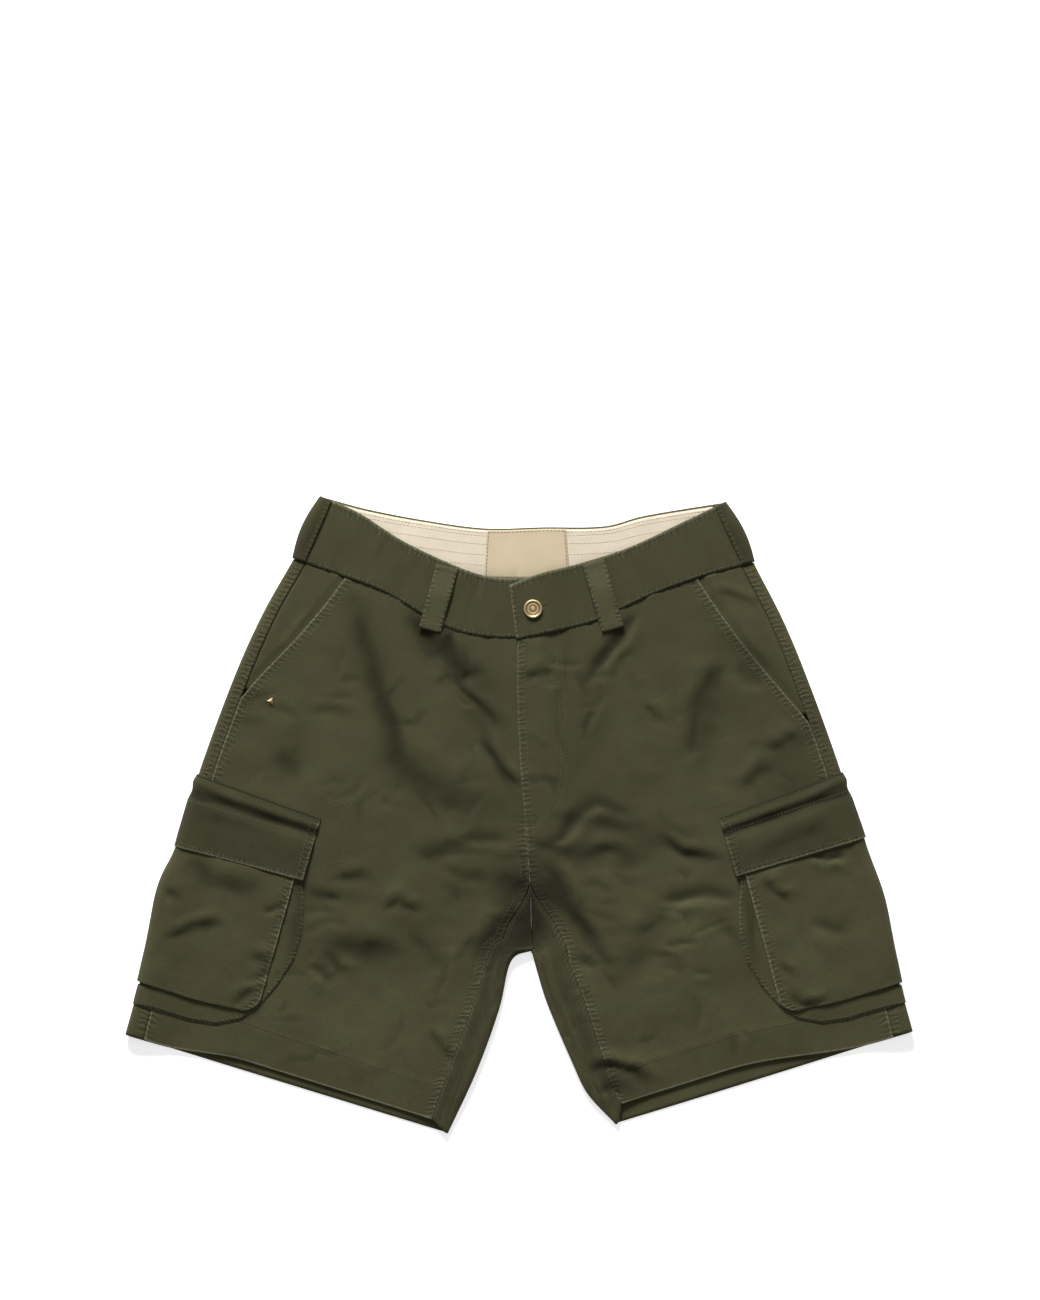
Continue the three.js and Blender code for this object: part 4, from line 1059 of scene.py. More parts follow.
def add_plan_seam(group, half, points):
    """A row of stitches on the front, through points given in plan."""
    points = np.array(points, float)
    runs = np.concatenate([[0], np.cumsum(np.linalg.norm(np.diff(points, axis=0), axis=1))])
    f = np.linspace(0, runs[-1], 120)
    x, y = (np.interp(f, runs, points[:, k]) for k in (0, 1))

    def surface(x, y):
        t, w = locate(half, x, y)
        z = half.front_height(t, w) + fly_rise(half, t, half.section(t)[3] - w)
        return np.stack([x, y, z], -1)

    add_run(group, *sew(surface, x, y), TWILL / 2)


def span(start, stop):
    return lambda f: start + (stop - start) * f


# Surfaces of the pieces, over a row and a share or distance across
def fly_rise(half, t, from_centre):
    if half.side == "left":
        return 0.0
    return (1.7 * LAYER * (1 - ramp(from_centre, FLY_UNDER + 5, FLY_UNDER + 22))
            * (1 - ramp(t, FLY_END - 0.1, FLY_END + 0.25)))


def front_surface(half):
    def surface(line, u):
        t = half.front_t(line, u)
        _, _, _, length = half.section(t)
        start = np.maximum(half.seam_s(t), half.mouth_s(t)) + SEAM_GAP / 2
        under = FLY_UNDER * (1 - ramp(t, FLY_END - 0.5, FLY_END - 0.2)) if half.side == "left" else 0
        stop = length - FOLD_RADIUS - SEAM_GAP / 2 - half.inseam_in(t) + under
        s = lerp(start, stop, u)
        p = half.ring(t, s)
        p[..., 2] += fly_rise(half, t, length - FOLD_RADIUS - s)
        return p
    return surface


def inner_fold(half, t):
    """The inner end of a row in plan, and the way out of the leg there, or out of the notch at the crotch."""
    step, below_crotch = 0.05, CROTCH_FOLD + 1e-4
    low = np.maximum(t, below_crotch)
    here = half.section(low)[1]
    run = half.section(low + step)[1] - half.section(np.maximum(low - step, below_crotch))[1]
    outward = unit(np.stack([-run[..., 1], run[..., 0]], -1) * -FACING[half.side])
    notch = unit(np.array([-0.45, -0.9]))
    return here, unit(lerp(notch, outward, ramp(t, CROTCH_FOLD, CROTCH_FOLD + 0.9)[..., None]))


def inner_radius(half, t):
    return (half.front_height(t, half.section(t)[3] - FOLD_RADIUS) - TWILL / 2) / 2


def back_surface(half):
    """Column numbers: to 1 the strip beside the side seam, to 2 round the loop, to 3 under, to 4 round the
    inner fold, to 5 over the inner strip."""
    def surface(line, k):
        t = line_t(line)
        top = half.ring(t, (half.seam_s(t) - SEAM_GAP / 2) * (1 - clamp(k)))
        loop = half.ring(t, -LOOP_ARC * clamp(k - 1, 1e-6, 1 - 1e-6))
        u = clamp(k - 2)
        under_t = np.where(line <= CROTCH_LINE, lerp(-WAIST_UNDER * u, CROTCH_FOLD, line / CROTCH_LINE), t)
        length = half.section(under_t)[3]
        w = lerp(FOLD_RADIUS, length - np.where(line < CROTCH_LINE, SEAM_GAP / 2, 0), u)
        p = half.plan(under_t, w)
        first = half.plan(-WAIST_UNDER * u, w)
        dip = half.band["back"][0](first[..., 0]) - SEAM_GAP - first[..., 1]
        p[..., 1] += dip * np.maximum(0, 1 - line / CROTCH_LINE) ** 3
        here, outward = inner_fold(half, t)
        radius = inner_radius(half, np.maximum(t, CROTCH_FOLD))
        below = np.where(line >= CROTCH_LINE, radius * u ** 3, 0)
        p = p - outward * below[..., None]
        apart = np.where(np.abs(line - CROTCH_LINE) < 0.5, FACING[half.side] * CROTCH_GAP / 2, 0)
        p[..., 0] += apart * u
        under = with_height(p, half.back_height(under_t, w))
        turn = math.pi * clamp(k - 3)
        q = here + outward * (radius * np.sin(turn) - radius)[..., None]
        q[..., 0] += apart
        inner = with_height(q, TWILL / 2 + radius - radius * np.cos(turn))
        f = clamp(k - 4)
        seam_t = np.where(np.abs(line - CROTCH_LINE) < 1e-3, CROTCH_POINT + 0.03, half.front_t(line, 1.0))
        strip_t = lerp(t, seam_t, f)
        inset = lerp(radius, np.maximum(half.inseam_in(seam_t) - SEAM_GAP / 2, 0), f)
        w = half.section(strip_t)[3] - inset
        r = half.plan(strip_t, w)
        r = lerp(r, here - outward * radius[..., None], ((1 - f) ** 2)[..., None])
        r[..., 0] += apart
        strip = with_height(r, half.front_height(strip_t, w))
        k = k[..., None]
        inside = np.where(k <= 4, inner, strip)
        return np.where(k <= 1, top, np.where(k < 2, loop, np.where(k <= 3, under, inside)))
    return surface


def facing_surface(half):
    def surface(t, u):
        s = lerp(half.seam_s(t) - 3, half.mouth_s(t) + FACING_UNDER, u)
        from_seam, to_mouth = s - half.seam_s(t), half.mouth_s(t) - s
        open_part = ramp(from_seam, 0.5, 1.8) * ramp(to_mouth, 1, 9)
        p = half.ring(t, s, -LAYER + 1.2 * open_part)
        p[..., 2] += crease_height(p[..., 0], p[..., 1], FACING_CREASES, DEEPEST["facing"]) * open_part
        return p
    return surface


def pocket_surface(half):
    rows, reach = POCKET_CORNER

    def surface(t, s):
        into = clamp((t - half.pocket_low) * POCKET_ROW / POCKET_BEND + 1)
        rounded = POCKET_BEND * (1 - np.sqrt(1 - into ** 2)) + 2 * into
        s = s - rounded * ramp(s, POCKET_REACH - 46, POCKET_REACH)
        t = t - rows * ramp(t, half.pocket_low - 0.5, half.pocket_low) * ramp(s, 40, POCKET_REACH - reach)
        p = half.ring(t, s, half.pocket_out(t, s))
        over = ramp(s, -2, 6)
        x, y = p[..., 0], p[..., 1]
        soft = 0.8 * soft_noise(x / 33, y / 33, 8) + 0.35 * soft_noise(x / 14, y / 14, 10)
        under_flap = ramp(t, half.flap_inner - 0.25, half.flap_inner + 0.15)
        at_edge = 1 - 0.6 * ramp(s, POCKET_REACH - 16, POCKET_REACH - 3)
        form = np.maximum(crease_height(x, y, POCKET_CREASES, DEEPEST["pocket"]) + soft, -2.0)
        below_flap = ramp(t, half.flap_inner + 0.02, half.flap_inner + 0.3)
        form = np.minimum(form, 0) * under_flap + np.maximum(form, 0) * below_flap
        p[..., 2] += over * at_edge * form
        bulge = POCKET_BULGE[half.side] * bell((t - 5.9) / 0.7) * (1 - ramp(np.abs(s + LOOP_ARC / 2), 8, 60))
        p[..., 0] += FACING[half.side] * bulge
        return p
    return surface


def gusset_rows():
    under = [FOLD_RADIUS - LOOP_ARC - far for far in (44, POCKET_UNDER)]
    loops = [-LOOP_ARC * k / 6 for k in range(7)] + under
    rows = GUSSET + [(GUSSET_UNDER[0], s, GUSSET_UNDER[1], s) for s in loops]
    return np.array(rows, float)


def gusset_surface(half):
    rows = gusset_rows()
    at = np.arange(len(rows))

    def surface(k, u):
        t, s, in_t, in_s = (np.interp(k, at, rows[:, j]) for j in range(4))
        return half.ring(lerp(t, in_t, u), lerp(s, in_s, u), lerp(1.05, LAYER, ramp(u, 0.0, 0.7)))
    return surface


def flap_row(half, f, s):
    """Row of a place on the flap, and its distance below the flap's seam."""
    t = lerp(half.flap_top, lerp(half.flap_outer, half.flap_inner, clamp(s / FLAP_REACH)), f)
    above, below = np.minimum(t, CROTCH_FOLD) - half.flap_top, np.maximum(0, t - CROTCH_FOLD)
    return t, above * ROW_PITCH + below * FLAP_ROW


def flap_shade(half, f, s):
    """Painted shade on the flap: along its seam, in the valley below its roll, and over its whole face."""
    _, below = flap_row(half, f, s)
    middle = 14.5 + 1.8 * soft_noise(s / 30, 0, 13) - 2.5 * ramp(s, 60, FLAP_REACH)
    valley = (0.85 + 0.3 * soft_noise(s / 17, 0, 15)) * bell((below - middle) / 2.6)
    soft = 0.12 * soft_noise(s / 30, below / 20, 16)
    return np.maximum(valley, 0.9 * bell(below / 1.5)) + 0.56 + soft


def flap_surface(half):
    def surface(f, s):
        t, below = flap_row(half, f, s)
        uneven = 1 + 0.45 * soft_noise(s / 22, 0, 12)
        below = below + 1.8 * soft_noise(s / 30, 0, 13)
        on_top = ramp(s, -14, -4)
        roll = FLAP_ROLL["height"] * uneven * bell((below - FLAP_ROLL["middle"]) / FLAP_ROLL["width"])
        on_pocket = ramp(below, FLAP_ROLL["valley"], FLAP_ROLL["pocket"])
        above = half.pocket_out(t, np.minimum(s, POCKET_REACH)) + LAYER + 0.4 * on_top
        p = half.ring(t, s, lerp(LAYER + roll * on_top, above, on_pocket))
        p[..., 2] += ramp(s, 0, 8) * crease_height(p[..., 0], p[..., 1], FLAP_CREASES, DEEPEST["flap"])
        return p
    return surface


def band_surface(half):
    def surface(d, v):
        p = half.band_ring(d, v)
        ribs = 0.5 * soft_noise(d / 6.5, v * 1.3, 21) + 0.5 * soft_noise(d / 17, v * 1.2, 22)
        fine = 0.5 * soft_noise(d / 4.2, v * 2, 23) * ramp(v, 0.35, 0.85)
        if half.side == "right":
            lapped = 1 - ramp(p[..., 0], TAB_REACH - 8, TAB_REACH + 14)
            p[..., 2] += TAB_RISE * lapped
        else:
            lapped = ramp(p[..., 0], -24, -8)
        p[..., 2] += (ribs + fine) * ramp(d, 0, 8) * (1 - 0.75 * lapped)
        return p
    return surface


def layer_surface(half, middle, soft=0.0):
    def surface(x, v):
        p = half.band_plan("back", x, v)
        return with_height(p, middle + soft * soft_noise(x / 17, v * 2, 31))
    return surface


def loop_surface(side):
    low_x, low_y, high_x, high_y, width = LOOPS[side]
    run = np.array([high_x - low_x, high_y - low_y], float)
    beside = unit(np.array([run[1], -run[0]]))
    base = BAND_MIDDLE + BAND / 2 + SEAM_GAP + LOOP / 2

    def surface(v, u):
        p = np.array([low_x, low_y]) + run * v[..., None] + beside * ((u - 0.5) * width)[..., None]
        z = base - 0.4 * (1 - ramp(v, 0, 0.11)) + LOOP_ARCH * np.sin(math.pi * ramp(v, 0.1, 1))
        return with_height(p, z + 0.15 * soft_noise(v * 7, u * 2, 41))
    return surface


def side_loop_surface(half):
    out = BAND / 2 + SEAM_GAP + LOOP / 2

    def surface(v, d):
        arch = (0.7 + SIDE_LOOP_ARCH * bell((d + BAND_ARC / 2) / 3.5)) * np.sin(math.pi * v)
        p = half.band_ring(d, lerp(0.01, 1, v), out + arch)
        p[..., 2] = np.maximum(p[..., 2], LOOP / 2 + 0.05)
        return p
    return surface


def unfaded(y):
    """How much darker the cloth is made: nothing at the hems, most towards the waist."""
    return 0.07 * ramp(y, -250, -160) + 0.17 * ramp(y, -200, 40)


def crease_tint(x, y):
    """Painted shade on the front: in the troughs of its creases and in the hollows of SHADES, where shadow
    falls, with a darkening towards the waist.
    """
    total = 0.85 * clamp(-crease_height(x, y, CREASES, 6.0) / 4.2)
    total = np.maximum(total, 0.3 * clamp(-crease_height(x, y, SMALL_CREASES, 1.6)))
    return np.tanh(1.15 * (total + unfaded(y) + spots(*strayed(x, y, 3.0, 12, 71), SHADES)))


def grid(start, stop, step, beside=()):
    """Even stops from start to stop, with more of them at the given distances from both ends."""
    stops = np.linspace(start, stop, max(2, int(round(abs(stop - start) / step)) + 1))
    way = np.sign(stop - start)
    extra = [start + way * d for d in beside] + [stop - way * d for d in beside]
    order = apart(np.sort(np.concatenate([stops, extra])), 1e-4 * abs(stop - start))
    return order if way > 0 else order[::-1]


def apart(stops, least):
    """The stops without those that are no further than this from the one before."""
    return stops[np.concatenate([[True], np.abs(np.diff(stops)) > least])]


def join_stops(*parts):
    return apart(np.concatenate(parts), 1e-6)


FINE = 2.6  # cell of the cloth that shows, in millimetres


class BothHalves:
    """A step that makes the same pieces of twill on both sides."""

    def execute(self, context):
        twill = twill_finish("olive_twill")
        for side in SIDES:
            self.make(HALVES[side], twill)
        return {"FINISHED"}

    def cut(self, half, twill, name, node, rests_on, *grid_of, **sewing):
        """Make one piece of twill; the names get the side's name behind them."""
        name, node, rests_on = (f"{part}_{half.side}" for part in (name, node, rests_on))
        Piece(name, node, *grid_of, **sewing).finish(twill, "twill", [rests_on])


class SHORTS_OT_fronts(BothHalves, Operator):
    """Make the two front panels"""
    bl_idname = "shorts.fronts"
    bl_label = "Front panels"

    def make(self, half, twill):
        surface = front_surface(half)
        lines = grid(0, LINES, LINES * FINE / LEG_LENGTH, (0.045, 0.11))
        shares = grid(0, 1, FINE / FRONT_WIDTH, (0.0035, 0.009))
        to_hem = edge_distances(surface(*np.meshgrid(lines, shares, indexing="ij")))["low"]
        hem = HEM_EXTRA * (1 - ramp(to_hem, HEM_DEPTH - 1.5, HEM_DEPTH + 1.5))
        self.cut(half, twill, "front_panel", "front", "back", surface, lines, shares, TWILL + hem,
                 worn={"low": 0.85, "first": 0.75, "last": 0.6}, seams={"top": 3, "first": 9.5, "last": 8},
                 tint=crease_tint)
        self.sew(half, surface)

    def sew(self, half, surface):
        lines = np.linspace(0, LINES, 500)
        width = np.linalg.norm(surface(lines, np.ones(500)) - surface(lines, np.zeros(500)), axis=1)

        def down(start, stop, insets, from_last=True):
            """Rows of stitches down the panel, at distances in from its last edge or its first."""
            along = span(start, stop)
            for inset in insets:
                def share(f, inset=inset):
                    part = inset / np.interp(along(f), lines, width)
                    return 1 - part if from_last else part
                add_seam("fronts", surface, along, share)

        down(0.15, LINES - 0.1, (2.0, 8.0), from_last=False)
        down(CROTCH_LINE + 0.7, LINES - 0.1, (1.8, 7.5))
        hem_line = LINES * (1 - HEM_DEPTH / LEG_LENGTH)
        add_seam("fronts", surface, hem_line, span(0.012, 0.988), HEM_EXTRA / 2 + TWILL / 2)
        add_plan_seam("fronts", half, DOTTED[half.side])
        if half.side == "right":
            down(0.1, CROTCH_LINE * 0.88, (1.8, 7.5))
            add_plan_seam("fronts", half, FLY_STITCH)
            add_plan_seam("fronts", half, [(x + 4.6, y - 1.5) for x, y in FLY_STITCH])
        else:
            for radius in (5.4, 6.3):
                add_plan_seam("fronts", half, self.corners(radius))
            down(CROTCH_LINE * 0.9, CROTCH_LINE, (2.0, 8.0))

    def corners(self, radius):
        """Triangle of stitches round the stud, one corner towards the side seam."""
        turns = [math.pi + TURN * k / 3 for k in range(4)]
        return [(STUD[0] + radius * math.cos(turn), STUD[1] + radius * math.sin(turn)) for turn in turns]


class SHORTS_OT_backs(BothHalves, Operator):
    """Make the two seat panels"""
    bl_idname = "shorts.backs"
    bl_label = "Seat panels"

    def make(self, half, twill):
        surface = back_surface(half)
        lines = np.concatenate([grid(0, CROTCH_LINE, 0.3), grid(CROTCH_LINE, LINES, 0.2)[1:]])
        under = 2 + (np.array(SEAT_STOPS) - FOLD_RADIUS) / UNDER_WIDTH
        columns = join_stops(np.linspace(0, 1, 7), np.linspace(1, 2, 13), under,
                             np.linspace(under[-1], 3, 26), np.linspace(3, 4, 13), np.linspace(4, 5, 9))
        centre = (columns[1:] + columns[:-1]) / 2
        keep = (centre < 3)[None, :] | (lines[:-1] >= CROTCH_LINE - 1e-6)[:, None]
        seat = Piece(f"seat_panel_{half.side}", f"back_{half.side}", surface, lines, columns, keep=keep,
                     worn={"low": 0.5}, seams={"first": 9, "last": 8}, tint=crease_tint, ripple=0.2)
        seat.finish(twill, "twill", ["floor"])
        for inset in (2.0, 7.5):
            add_seam("seat", surface, span(0.1, LINES - 0.1), inset / STRIP_WIDTH)


class SHORTS_OT_hip_pockets(BothHalves, Operator):
    """Make what shows of the hip pockets"""
    bl_idname = "shorts.hip_pockets"
    bl_label = "Hip pockets"

    def make(self, half, twill):
        self.cut(half, twill, "hip_pocket_piece", "hip_pocket_facing", "back", facing_surface(half),
                 grid(0, half.mouth_end - 0.12, FINE / ROW_PITCH),
                 grid(0, 1, FINE / FACING_WIDTH, (0.02, 0.035, 0.05, 0.065, 0.08, 0.095)), TWILL * 0.9,
                 seams={"top": 3}, tint=crease_tint)


class SHORTS_OT_cargo_pockets(BothHalves, Operator):
    """Make the bellows pockets with their flaps"""
    bl_idname = "shorts.cargo_pockets"
    bl_label = "Cargo pockets"

    ROUND = -LOOP_ARC * 0.6  # where rows of stitches end, round the outer fold

    def make(self, half, twill):
        self.pocket(half, twill)
        self.gusset(half, twill)
        self.flap(half, twill)

    def across(self, reach, under):
        return join_stops(grid(reach, 0, FINE, (0.8, 1.8)), -LOOP_ARC * np.linspace(0, 1, 13),
                          grid(-LOOP_ARC, FOLD_RADIUS - LOOP_ARC - under, 9))

    def pocket(self, half, twill):
        surface = pocket_surface(half)
        rows = grid(half.flap_top + POCKET_BELOW_FLAP, half.pocket_low, FINE / POCKET_ROW, (0.013, 0.03))
        self.cut(half, twill, "thigh_pocket", "cargo_pocket", "front", surface, rows,
                 self.across(POCKET_REACH, POCKET_UNDER), worn={"first": 0.85, "low": 0.6},
                 seams={"first": 7}, tint=pocket_tint, ripple=0.4)
        for inset in (2.2, 7.5):
            down = span(half.flap_inner + 0.05, half.pocket_low - 0.04)
            add_seam("pockets", surface, down, POCKET_REACH - inset)
        add_seam("pockets", surface, half.pocket_low - 0.035, span(POCKET_REACH - 3, self.ROUND))

    def gusset(self, half, twill):
        surface = gusset_surface(half)
        last = len(gusset_rows()) - 1
        self.cut(half, twill, "pocket_bellows", "cargo_gusset", "front", surface, grid(0, last, 0.16),
                 grid(0, 1, 0.12), 0.8, worn={"first": 0.6}, seams={"first": 4}, tint=crease_tint,
                 ripple=0.12)
        add_seam("pockets", surface, span(0.1, len(GUSSET) + 3), 0.1, steps=420)

    def flap(self, half, twill):
        surface = flap_surface(half)
        rows, places = grid(0, 1, FLAP_CELL, (0.013,)), self.across(FLAP_REACH, FLAP_UNDER)
        shade = flap_shade(half, *np.meshgrid(rows, places, indexing="ij"))
        self.cut(half, twill, "pocket_flap", "cargo_flap", "cargo_pocket", surface, rows, places,
                 worn={"first": 0.9, "low": 1.25}, seams={"first": 7, "low": 5}, tint=lambda x, y: shade,
                 ripple=0.25)
        for inset in (2.0, 7.5):
            low = 1 - inset / FLAP_DEPTH
            add_seam("pockets", surface, span(0.06, low), FLAP_REACH - inset)
            add_seam("pockets", surface, low, span(FLAP_REACH - inset, self.ROUND))
        for f in (0.03, 0.22):
            add_seam("pockets", surface, f, span(FLAP_REACH - 2, self.ROUND))


# Painted shade in the troughs of the pocket's creases, where shadow falls, with a darkening towards the waist.
def pocket_tint(x, y):
    return 0.8 * clamp(-crease_height(x, y, POCKET_CREASES, 4.0) / 3.0) + unfaded(y)


# The waistband made darker all over, and more so towards the waist.
def band_tint(x, y):
    return 0.18 + unfaded(y)


def inside_shade(x, y):
    """Shade on what shows inside the waist, darkest along the front waistband's top edge."""
    left, right = (HALVES[side].band[side][2](x) for side in SIDES)
    edge = np.where(x < BAND_SECTIONS["right"][-1][0], left, right)
    return 0.9 * bell(np.maximum(0, y - edge) / 8)


class SHORTS_OT_waistband(Operator):
    """Make the waistband, its lining and the label"""
    bl_idname = "shorts.waistband"
    bl_label = "Waistband"

    START = BAND_SECTIONS["left"][0][0] + BAND_UNDER + SEAM_GAP
    STOP = BAND_SECTIONS["right"][0][0] - BAND_UNDER - SEAM_GAP
    LINING_HEIGHT = BACK_BAND + SEAM_GAP + LINING / 2
    LABEL_HEIGHT = LINING_HEIGHT + LINING / 2 + SEAM_GAP + LABEL / 2

    def execute(self, context):
        cloth, twill = context.scene.shorts_cloth, twill_finish("olive_twill")
        for side in SIDES:
            self.front(HALVES[side], twill)
        back = Piece("waistband_seat", "waistband_back", layer_surface(HALVES["left"], BACK_BAND / 2),
                     grid(self.START, self.STOP, 6), grid(0, 1, 0.1), BACK_BAND)
        back.finish(twill, "twill", ["floor"])
        self.inside(cloth)
        self.label(cloth)
        return {"FINISHED"}

    def inside(self, cloth):
        finish = lining_finish("cream_cotton", cloth.lining, toned(cloth.lining, 0.82))
        surface = layer_surface(HALVES["left"], self.LINING_HEIGHT, 0.12)
        inside = Piece("waistband_inside", "waistband_lining", surface, grid(self.START, self.STOP, FINE),
                       grid(0.02, 0.965, 0.06), LINING * 0.8, seams={"last": 6}, tint=inside_shade,
                       ripple=0.15)
        inside.finish(finish, "lining", ["waistband_back"])
        for v in (0.92, 0.86, 0.7, 0.5, 0.3):
            add_seam("lining", surface, span(self.START + 2, self.STOP - 2), v, LINING * 0.4, 420)

    def label(self, cloth):
        finish = lining_finish("label_weave", cloth.label, toned(cloth.label, 0.85))
        surface = layer_surface(HALVES["left"], self.LABEL_HEIGHT, 0.1)
        first, last, low, high = LABEL_PLACE
        label = Piece("inside_label", "waist_label", surface, grid(first, last, 2), grid(low, high, 0.05),
                      LABEL * 0.7, seams={"first": 2, "last": 2}, tint=inside_shade, ripple=0.1)
        label.finish(finish, "label", ["waistband_lining"])
        first, last = first + 1.6, last - 1.6
        for x in (first, last):
            add_seam("label", surface, x, span(low + 0.02, high - 0.02), LABEL * 0.35)
        add_seam("label", surface, span(first, last), high - 0.035, LABEL * 0.35)

    def front(self, half, twill):
        surface = band_surface(half)
        end_x = 16 if half.side == "left" else BAND_SECTIONS["right"][-1][0]
        reach = abs(end_x - BAND_SECTIONS[half.side][0][0]) - BAND_RADIUS
        stops = join_stops(grid(reach, 0, 2.4), -BAND_ARC * np.linspace(0, 1, 9),
                           grid(-BAND_ARC, -BAND_ARC - BAND_UNDER + BAND_RADIUS, 5))
        thick = lerp(BACK_BAND, BAND, ramp(stops, -BAND_ARC, 0))[:, None]
        piece = Piece(f"waistband_front_{half.side}", f"waistband_{half.side}", surface, stops,
                      np.linspace(0, 1, 23), thick, worn={"last": 0.8, "top": 0.8},
                      seams={"first": 5, "last": 9, "top": 4}, tint=band_tint, ripple=0.25)
        piece.finish(twill, "twill", ["waistband_back"])
        for v in (0.045, 0.955):
            add_seam("waist", surface, span(reach - 2, 2), v, BAND / 2, 420)
        if half.side == "right":
            add_seam("waist", surface, reach - 2.2, span(0.045, 0.955), BAND / 2)
            for v in (0.475, 0.50):
                add_seam("buttonhole", surface, span(reach - 22, reach - 34.5), v, BAND / 2)


class SHORTS_OT_belt_loops(BothHalves, Operator):
    """Make the belt loops"""
    bl_idname = "shorts.belt_loops"
    bl_label = "Belt loops"

    def make(self, half, twill):
        surface = loop_surface(half.side)
        self.cut(half, twill, "loop_front", "belt_loop_front", "waistband", surface, grid(0, 1, 0.03),
                 grid(0, 1, 0.1), LOOP, worn={"first": 0.4, "last": 0.4}, seams={"first": 4, "last": 4},
                 ripple=0.12)
        for u in (0.14, 0.86):
            add_seam("waist", surface, span(0.03, 0.97), u, LOOP / 2)
        for v in (0.05, 0.075, 0.93, 0.955):
            add_seam("waist", surface, v, span(0.1, 0.9), LOOP / 2)
        # The side loop is given painted shade all over, as it turns away from the light round the fold.
        self.cut(half, twill, "loop_side", "belt_loop_side", "waistband", side_loop_surface(half),
                 grid(0, 1, 0.04), grid(6.4, -4.95, 1.0), LOOP, worn={"first": 0.3}, seams={"first": 4},
                 tint=lambda x, y: 0.6, ripple=0.1)


class SHORTS_OT_sewing(Operator):
    """Make the threads of the seams"""
    bl_idname = "shorts.sewing"
    bl_label = "Stitches"

    def execute(self, context):
        sewing, cloth = context.scene.shorts_sewing, context.scene.shorts_cloth
        cream = ("cream_thread", toned(cloth.lining, 0.7))
        colours = {"lining": cream, "label": ("dark_thread", DARK_THREAD)}
        sizes = {"buttonhole": BUTTONHOLE_THREAD}
        for group, runs in SEAMS.items():
            size = sizes.get(group, (sewing.length, sewing.gap, sewing.thread))
            threads = stitch_mesh(f"stitches_{group}", runs, *size)
            threads.data.materials.append(thread_finish(*colours.get(group, ("olive_thread", sewing.colour))))
            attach(threads, "root")
        return {"FINISHED"}


class SHORTS_OT_metal(Operator):
    """Make the waist button and the stud"""
    bl_idname = "shorts.metal"
    bl_label = "Button and stud"

    # Radius, height and how hollow the place is
    BUTTON_PROFILE = [(0, 1.62, 0.1), (1.2, 1.6, 0.1), (2.0, 1.45, 0.5), (2.5, 1.25, 1), (3.0, 1.25, 1),
                      (3.5, 1.5, 0.3), (4.6, 1.55, 0.2), (5.3, 1.4, 0.7), (5.8, 1.35, 1), (6.2, 1.7, 0.6),
                      (6.7, 2.15, 0.1), (7.4, 2.35, 0), (8.0, 2.15, 0), (8.4, 1.7, 0), (8.5, 1.2, 0.1),
                      (8.35, 0.7, 0.4), (7.6, 0.25, 0.8), (4.0, 0.0, 1), (0, 0.0, 1)]
    KNURL = 0.07  # height of the small ribs between these radii
    KNURLED = (3.4, 4.8)
    STUD_PROFILE = [(0, 1.9, 0), (0.6, 1.72, 0), (2.2, 1.05, 0), (3.5, 0.5, 0), (3.95, 0.28, 0.3),
                    (3.8, 0.02, 0.8), (0, 0.0, 1)]

    def execute(self, context):
        metal = context.scene.shorts_metal
        brass = metal_finish("old_brass", metal.brass, metal.tarnish)
        for name, node, profile, slot, place, sides in (
                ("shank_button", "waist_button", self.BUTTON_PROFILE, "button", BUTTON, metal.sides),
                ("corner_stud", "pocket_rivet", self.STUD_PROFILE, "rivet", STUD, 3)):
            low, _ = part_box(node)
            disc = self.turned(name, profile, *place, low[2] / MM, sides)
            disc.data.materials.append(brass)
            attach(disc, "root")
            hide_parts(node)
        return {"FINISHED"}

    def turned(self, name, profile, x, y, z, sides):
        points, hollow = [], []
        for radius, height, depth in profile:
            knurled = self.KNURLED[0] < radius < self.KNURLED[1]
            for k in range(sides):
                angle = math.pi + TURN * k / sides
                knurl = self.KNURL * math.cos(k * math.pi) if knurled else 0
                across, up = radius * math.cos(angle), radius * math.sin(angle)
                points.append((x + across, y + up, z + height + knurl))
                hollow.append(depth)
        faces = [(p, above, next_above, q) for p, q, next_above, above in ring_faces(len(profile), sides)]
        disc = new_mesh_object(name, np.array(points), faces, smooth=sides > 8)
        disc.data.attributes.new("hollow", "FLOAT", "POINT").data.foreach_set("value", hollow)
        return disc


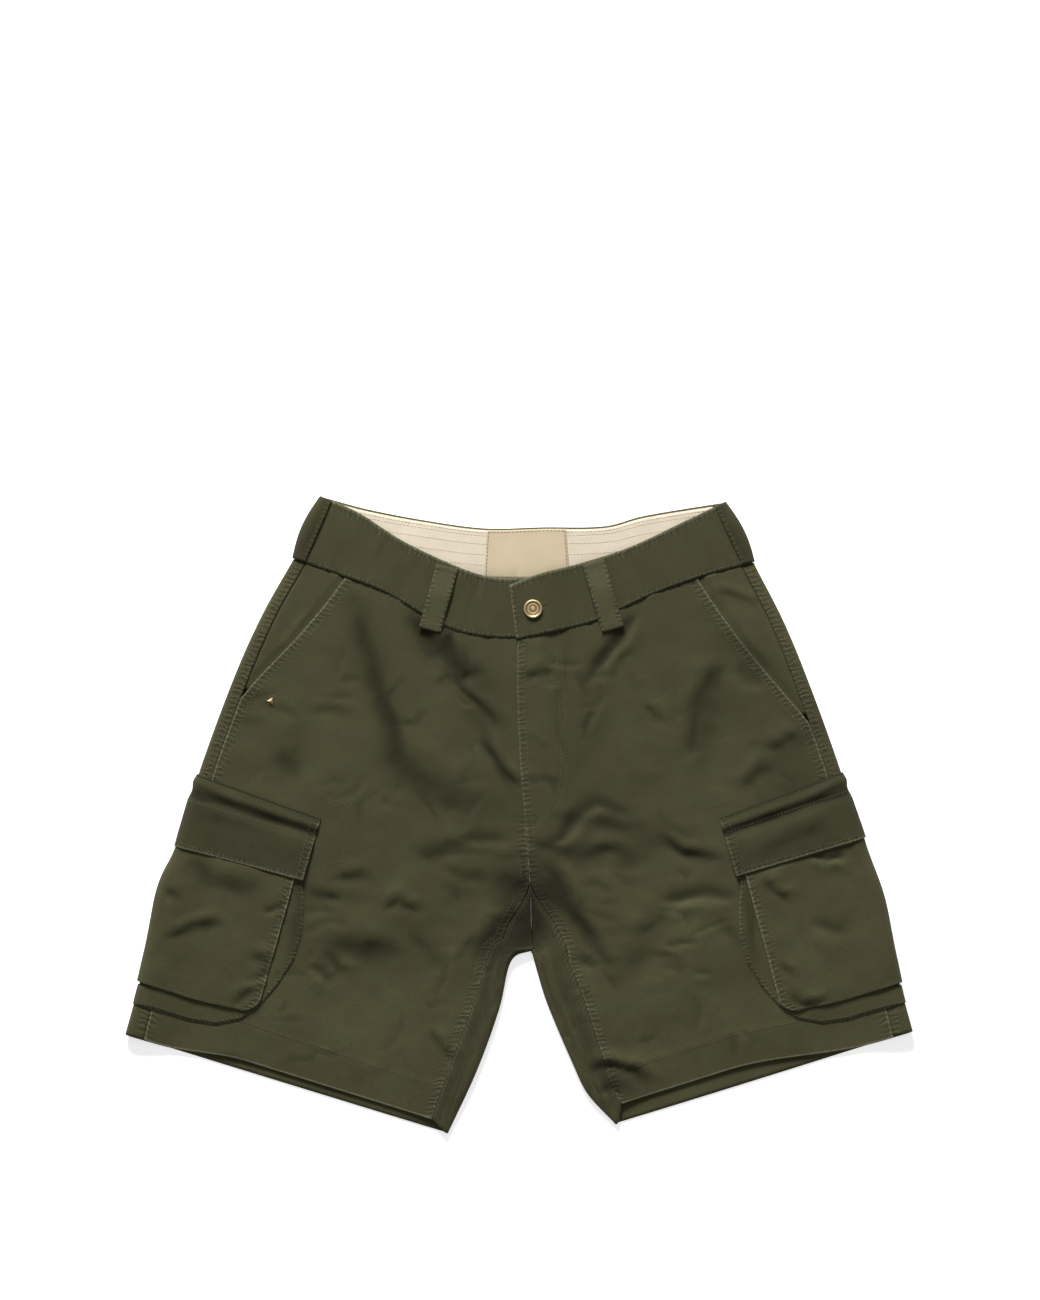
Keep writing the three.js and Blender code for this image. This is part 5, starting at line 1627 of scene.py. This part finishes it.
class SHORTS_OT_stage(Operator):
    """Make the floor, the lights and the camera"""
    bl_idname = "shorts.stage"
    bl_label = "Floor, light and camera"

    CENTRE = (0.00085, 0.1481)  # what the photo's middle looks at
    PHOTO_HEIGHT = 1.170
    FOCAL = 90.0
    SENSOR = 24.0
    FLOOR_SIZE = 6.0
    FLOOR_HEIGHT = -0.0004
    WHITE = (1, 1, 1, 1)

    def execute(self, context):
        stage = context.scene.shorts_stage
        self.floor(stage)
        self.light("key_light", (-0.5, 2.9, 1.65), 1.0, stage.key)
        self.light("fill_light", (0.6, 0.4, 3.6), 1.6, stage.fill)
        self.sky(stage)
        self.camera(context.scene)
        context.scene.view_settings.view_transform = "Standard"
        context.scene.view_settings.look = "None"
        return {"FINISHED"}

    def floor(self, stage):
        mesh = bpy.data.meshes.new("floor")
        corners = [(x * self.FLOOR_SIZE, y * self.FLOOR_SIZE, self.FLOOR_HEIGHT)
                   for x, y in ((-1, -1), (1, -1), (1, 1), (-1, 1))]
        mesh.from_pydata(corners, [], [(0, 1, 2, 3)])
        floor = bpy.data.objects.new("floor", mesh)
        bpy.context.scene.collection.objects.link(floor)
        f = Finish("pale_floor")
        f.set(Base_Color=(*stage.floor, 1), Roughness=0.95, Specular_IOR_Level=0.1,
              Emission_Color=self.WHITE, Emission_Strength=stage.glow)
        mesh.materials.append(f.material)

    def light(self, name, place, size, power):
        """A square light that points at the shorts' middle."""
        lamp = bpy.data.lights.new(name, "AREA")
        lamp.shape = "SQUARE"
        lamp.size = size
        lamp.energy = power
        thing = bpy.data.objects.new(name, lamp)
        thing.location = place
        x, y, z = place
        thing.rotation_euler = (math.atan2(math.hypot(x, y), z), 0, math.atan2(y, x) + math.pi / 2)
        bpy.context.scene.collection.objects.link(thing)

    def sky(self, stage):
        world = bpy.data.worlds.new("soft_sky")
        world.use_nodes = True
        background = world.node_tree.nodes["Background"]
        background.inputs[0].default_value = self.WHITE
        background.inputs[1].default_value = stage.sky
        bpy.context.scene.world = world

    def camera(self, scene):
        lens = bpy.data.cameras.new("camera")
        lens.sensor_fit = "VERTICAL"
        lens.sensor_height = self.SENSOR
        lens.lens = self.FOCAL
        camera = bpy.data.objects.new("camera", lens)
        camera.location = (*self.CENTRE, self.PHOTO_HEIGHT * self.FOCAL / self.SENSOR)
        scene.collection.objects.link(camera)
        scene.camera = camera


OPERATORS = (SHORTS_OT_stage, SHORTS_OT_fronts, SHORTS_OT_backs, SHORTS_OT_hip_pockets,
             SHORTS_OT_cargo_pockets, SHORTS_OT_waistband, SHORTS_OT_belt_loops, SHORTS_OT_sewing,
             SHORTS_OT_metal)


class SHORTS_PT_panel(Panel):
    """Sizes, colours and steps of the shorts"""
    bl_idname = "SHORTS_PT_panel"
    bl_label = "Cargo shorts"
    bl_space_type = "VIEW_3D"
    bl_region_type = "UI"
    bl_category = "Shorts"

    def draw(self, context):
        for key, group in PROPERTIES.items():
            box = self.layout.box()
            for name in group.__annotations__:
                box.prop(getattr(context.scene, key), name)
        for operator in OPERATORS:
            self.layout.operator(operator.bl_idname)


def register():
    for group in PROPERTIES.values():
        bpy.utils.register_class(group)
    for key, group in PROPERTIES.items():
        setattr(bpy.types.Scene, key, PointerProperty(type=group))
    for thing in (*OPERATORS, SHORTS_PT_panel):
        bpy.utils.register_class(thing)


def unregister():
    for thing in (SHORTS_PT_panel, *reversed(OPERATORS)):
        bpy.utils.unregister_class(thing)
    for key in PROPERTIES:
        delattr(bpy.types.Scene, key)
    for group in reversed(list(PROPERTIES.values())):
        bpy.utils.unregister_class(group)


def main():
    register()
    for operator in OPERATORS:
        group, name = operator.bl_idname.split(".")
        getattr(getattr(bpy.ops, group), name)()
    bpy.context.view_layer.update()


if __name__ == "__main__":
    main()
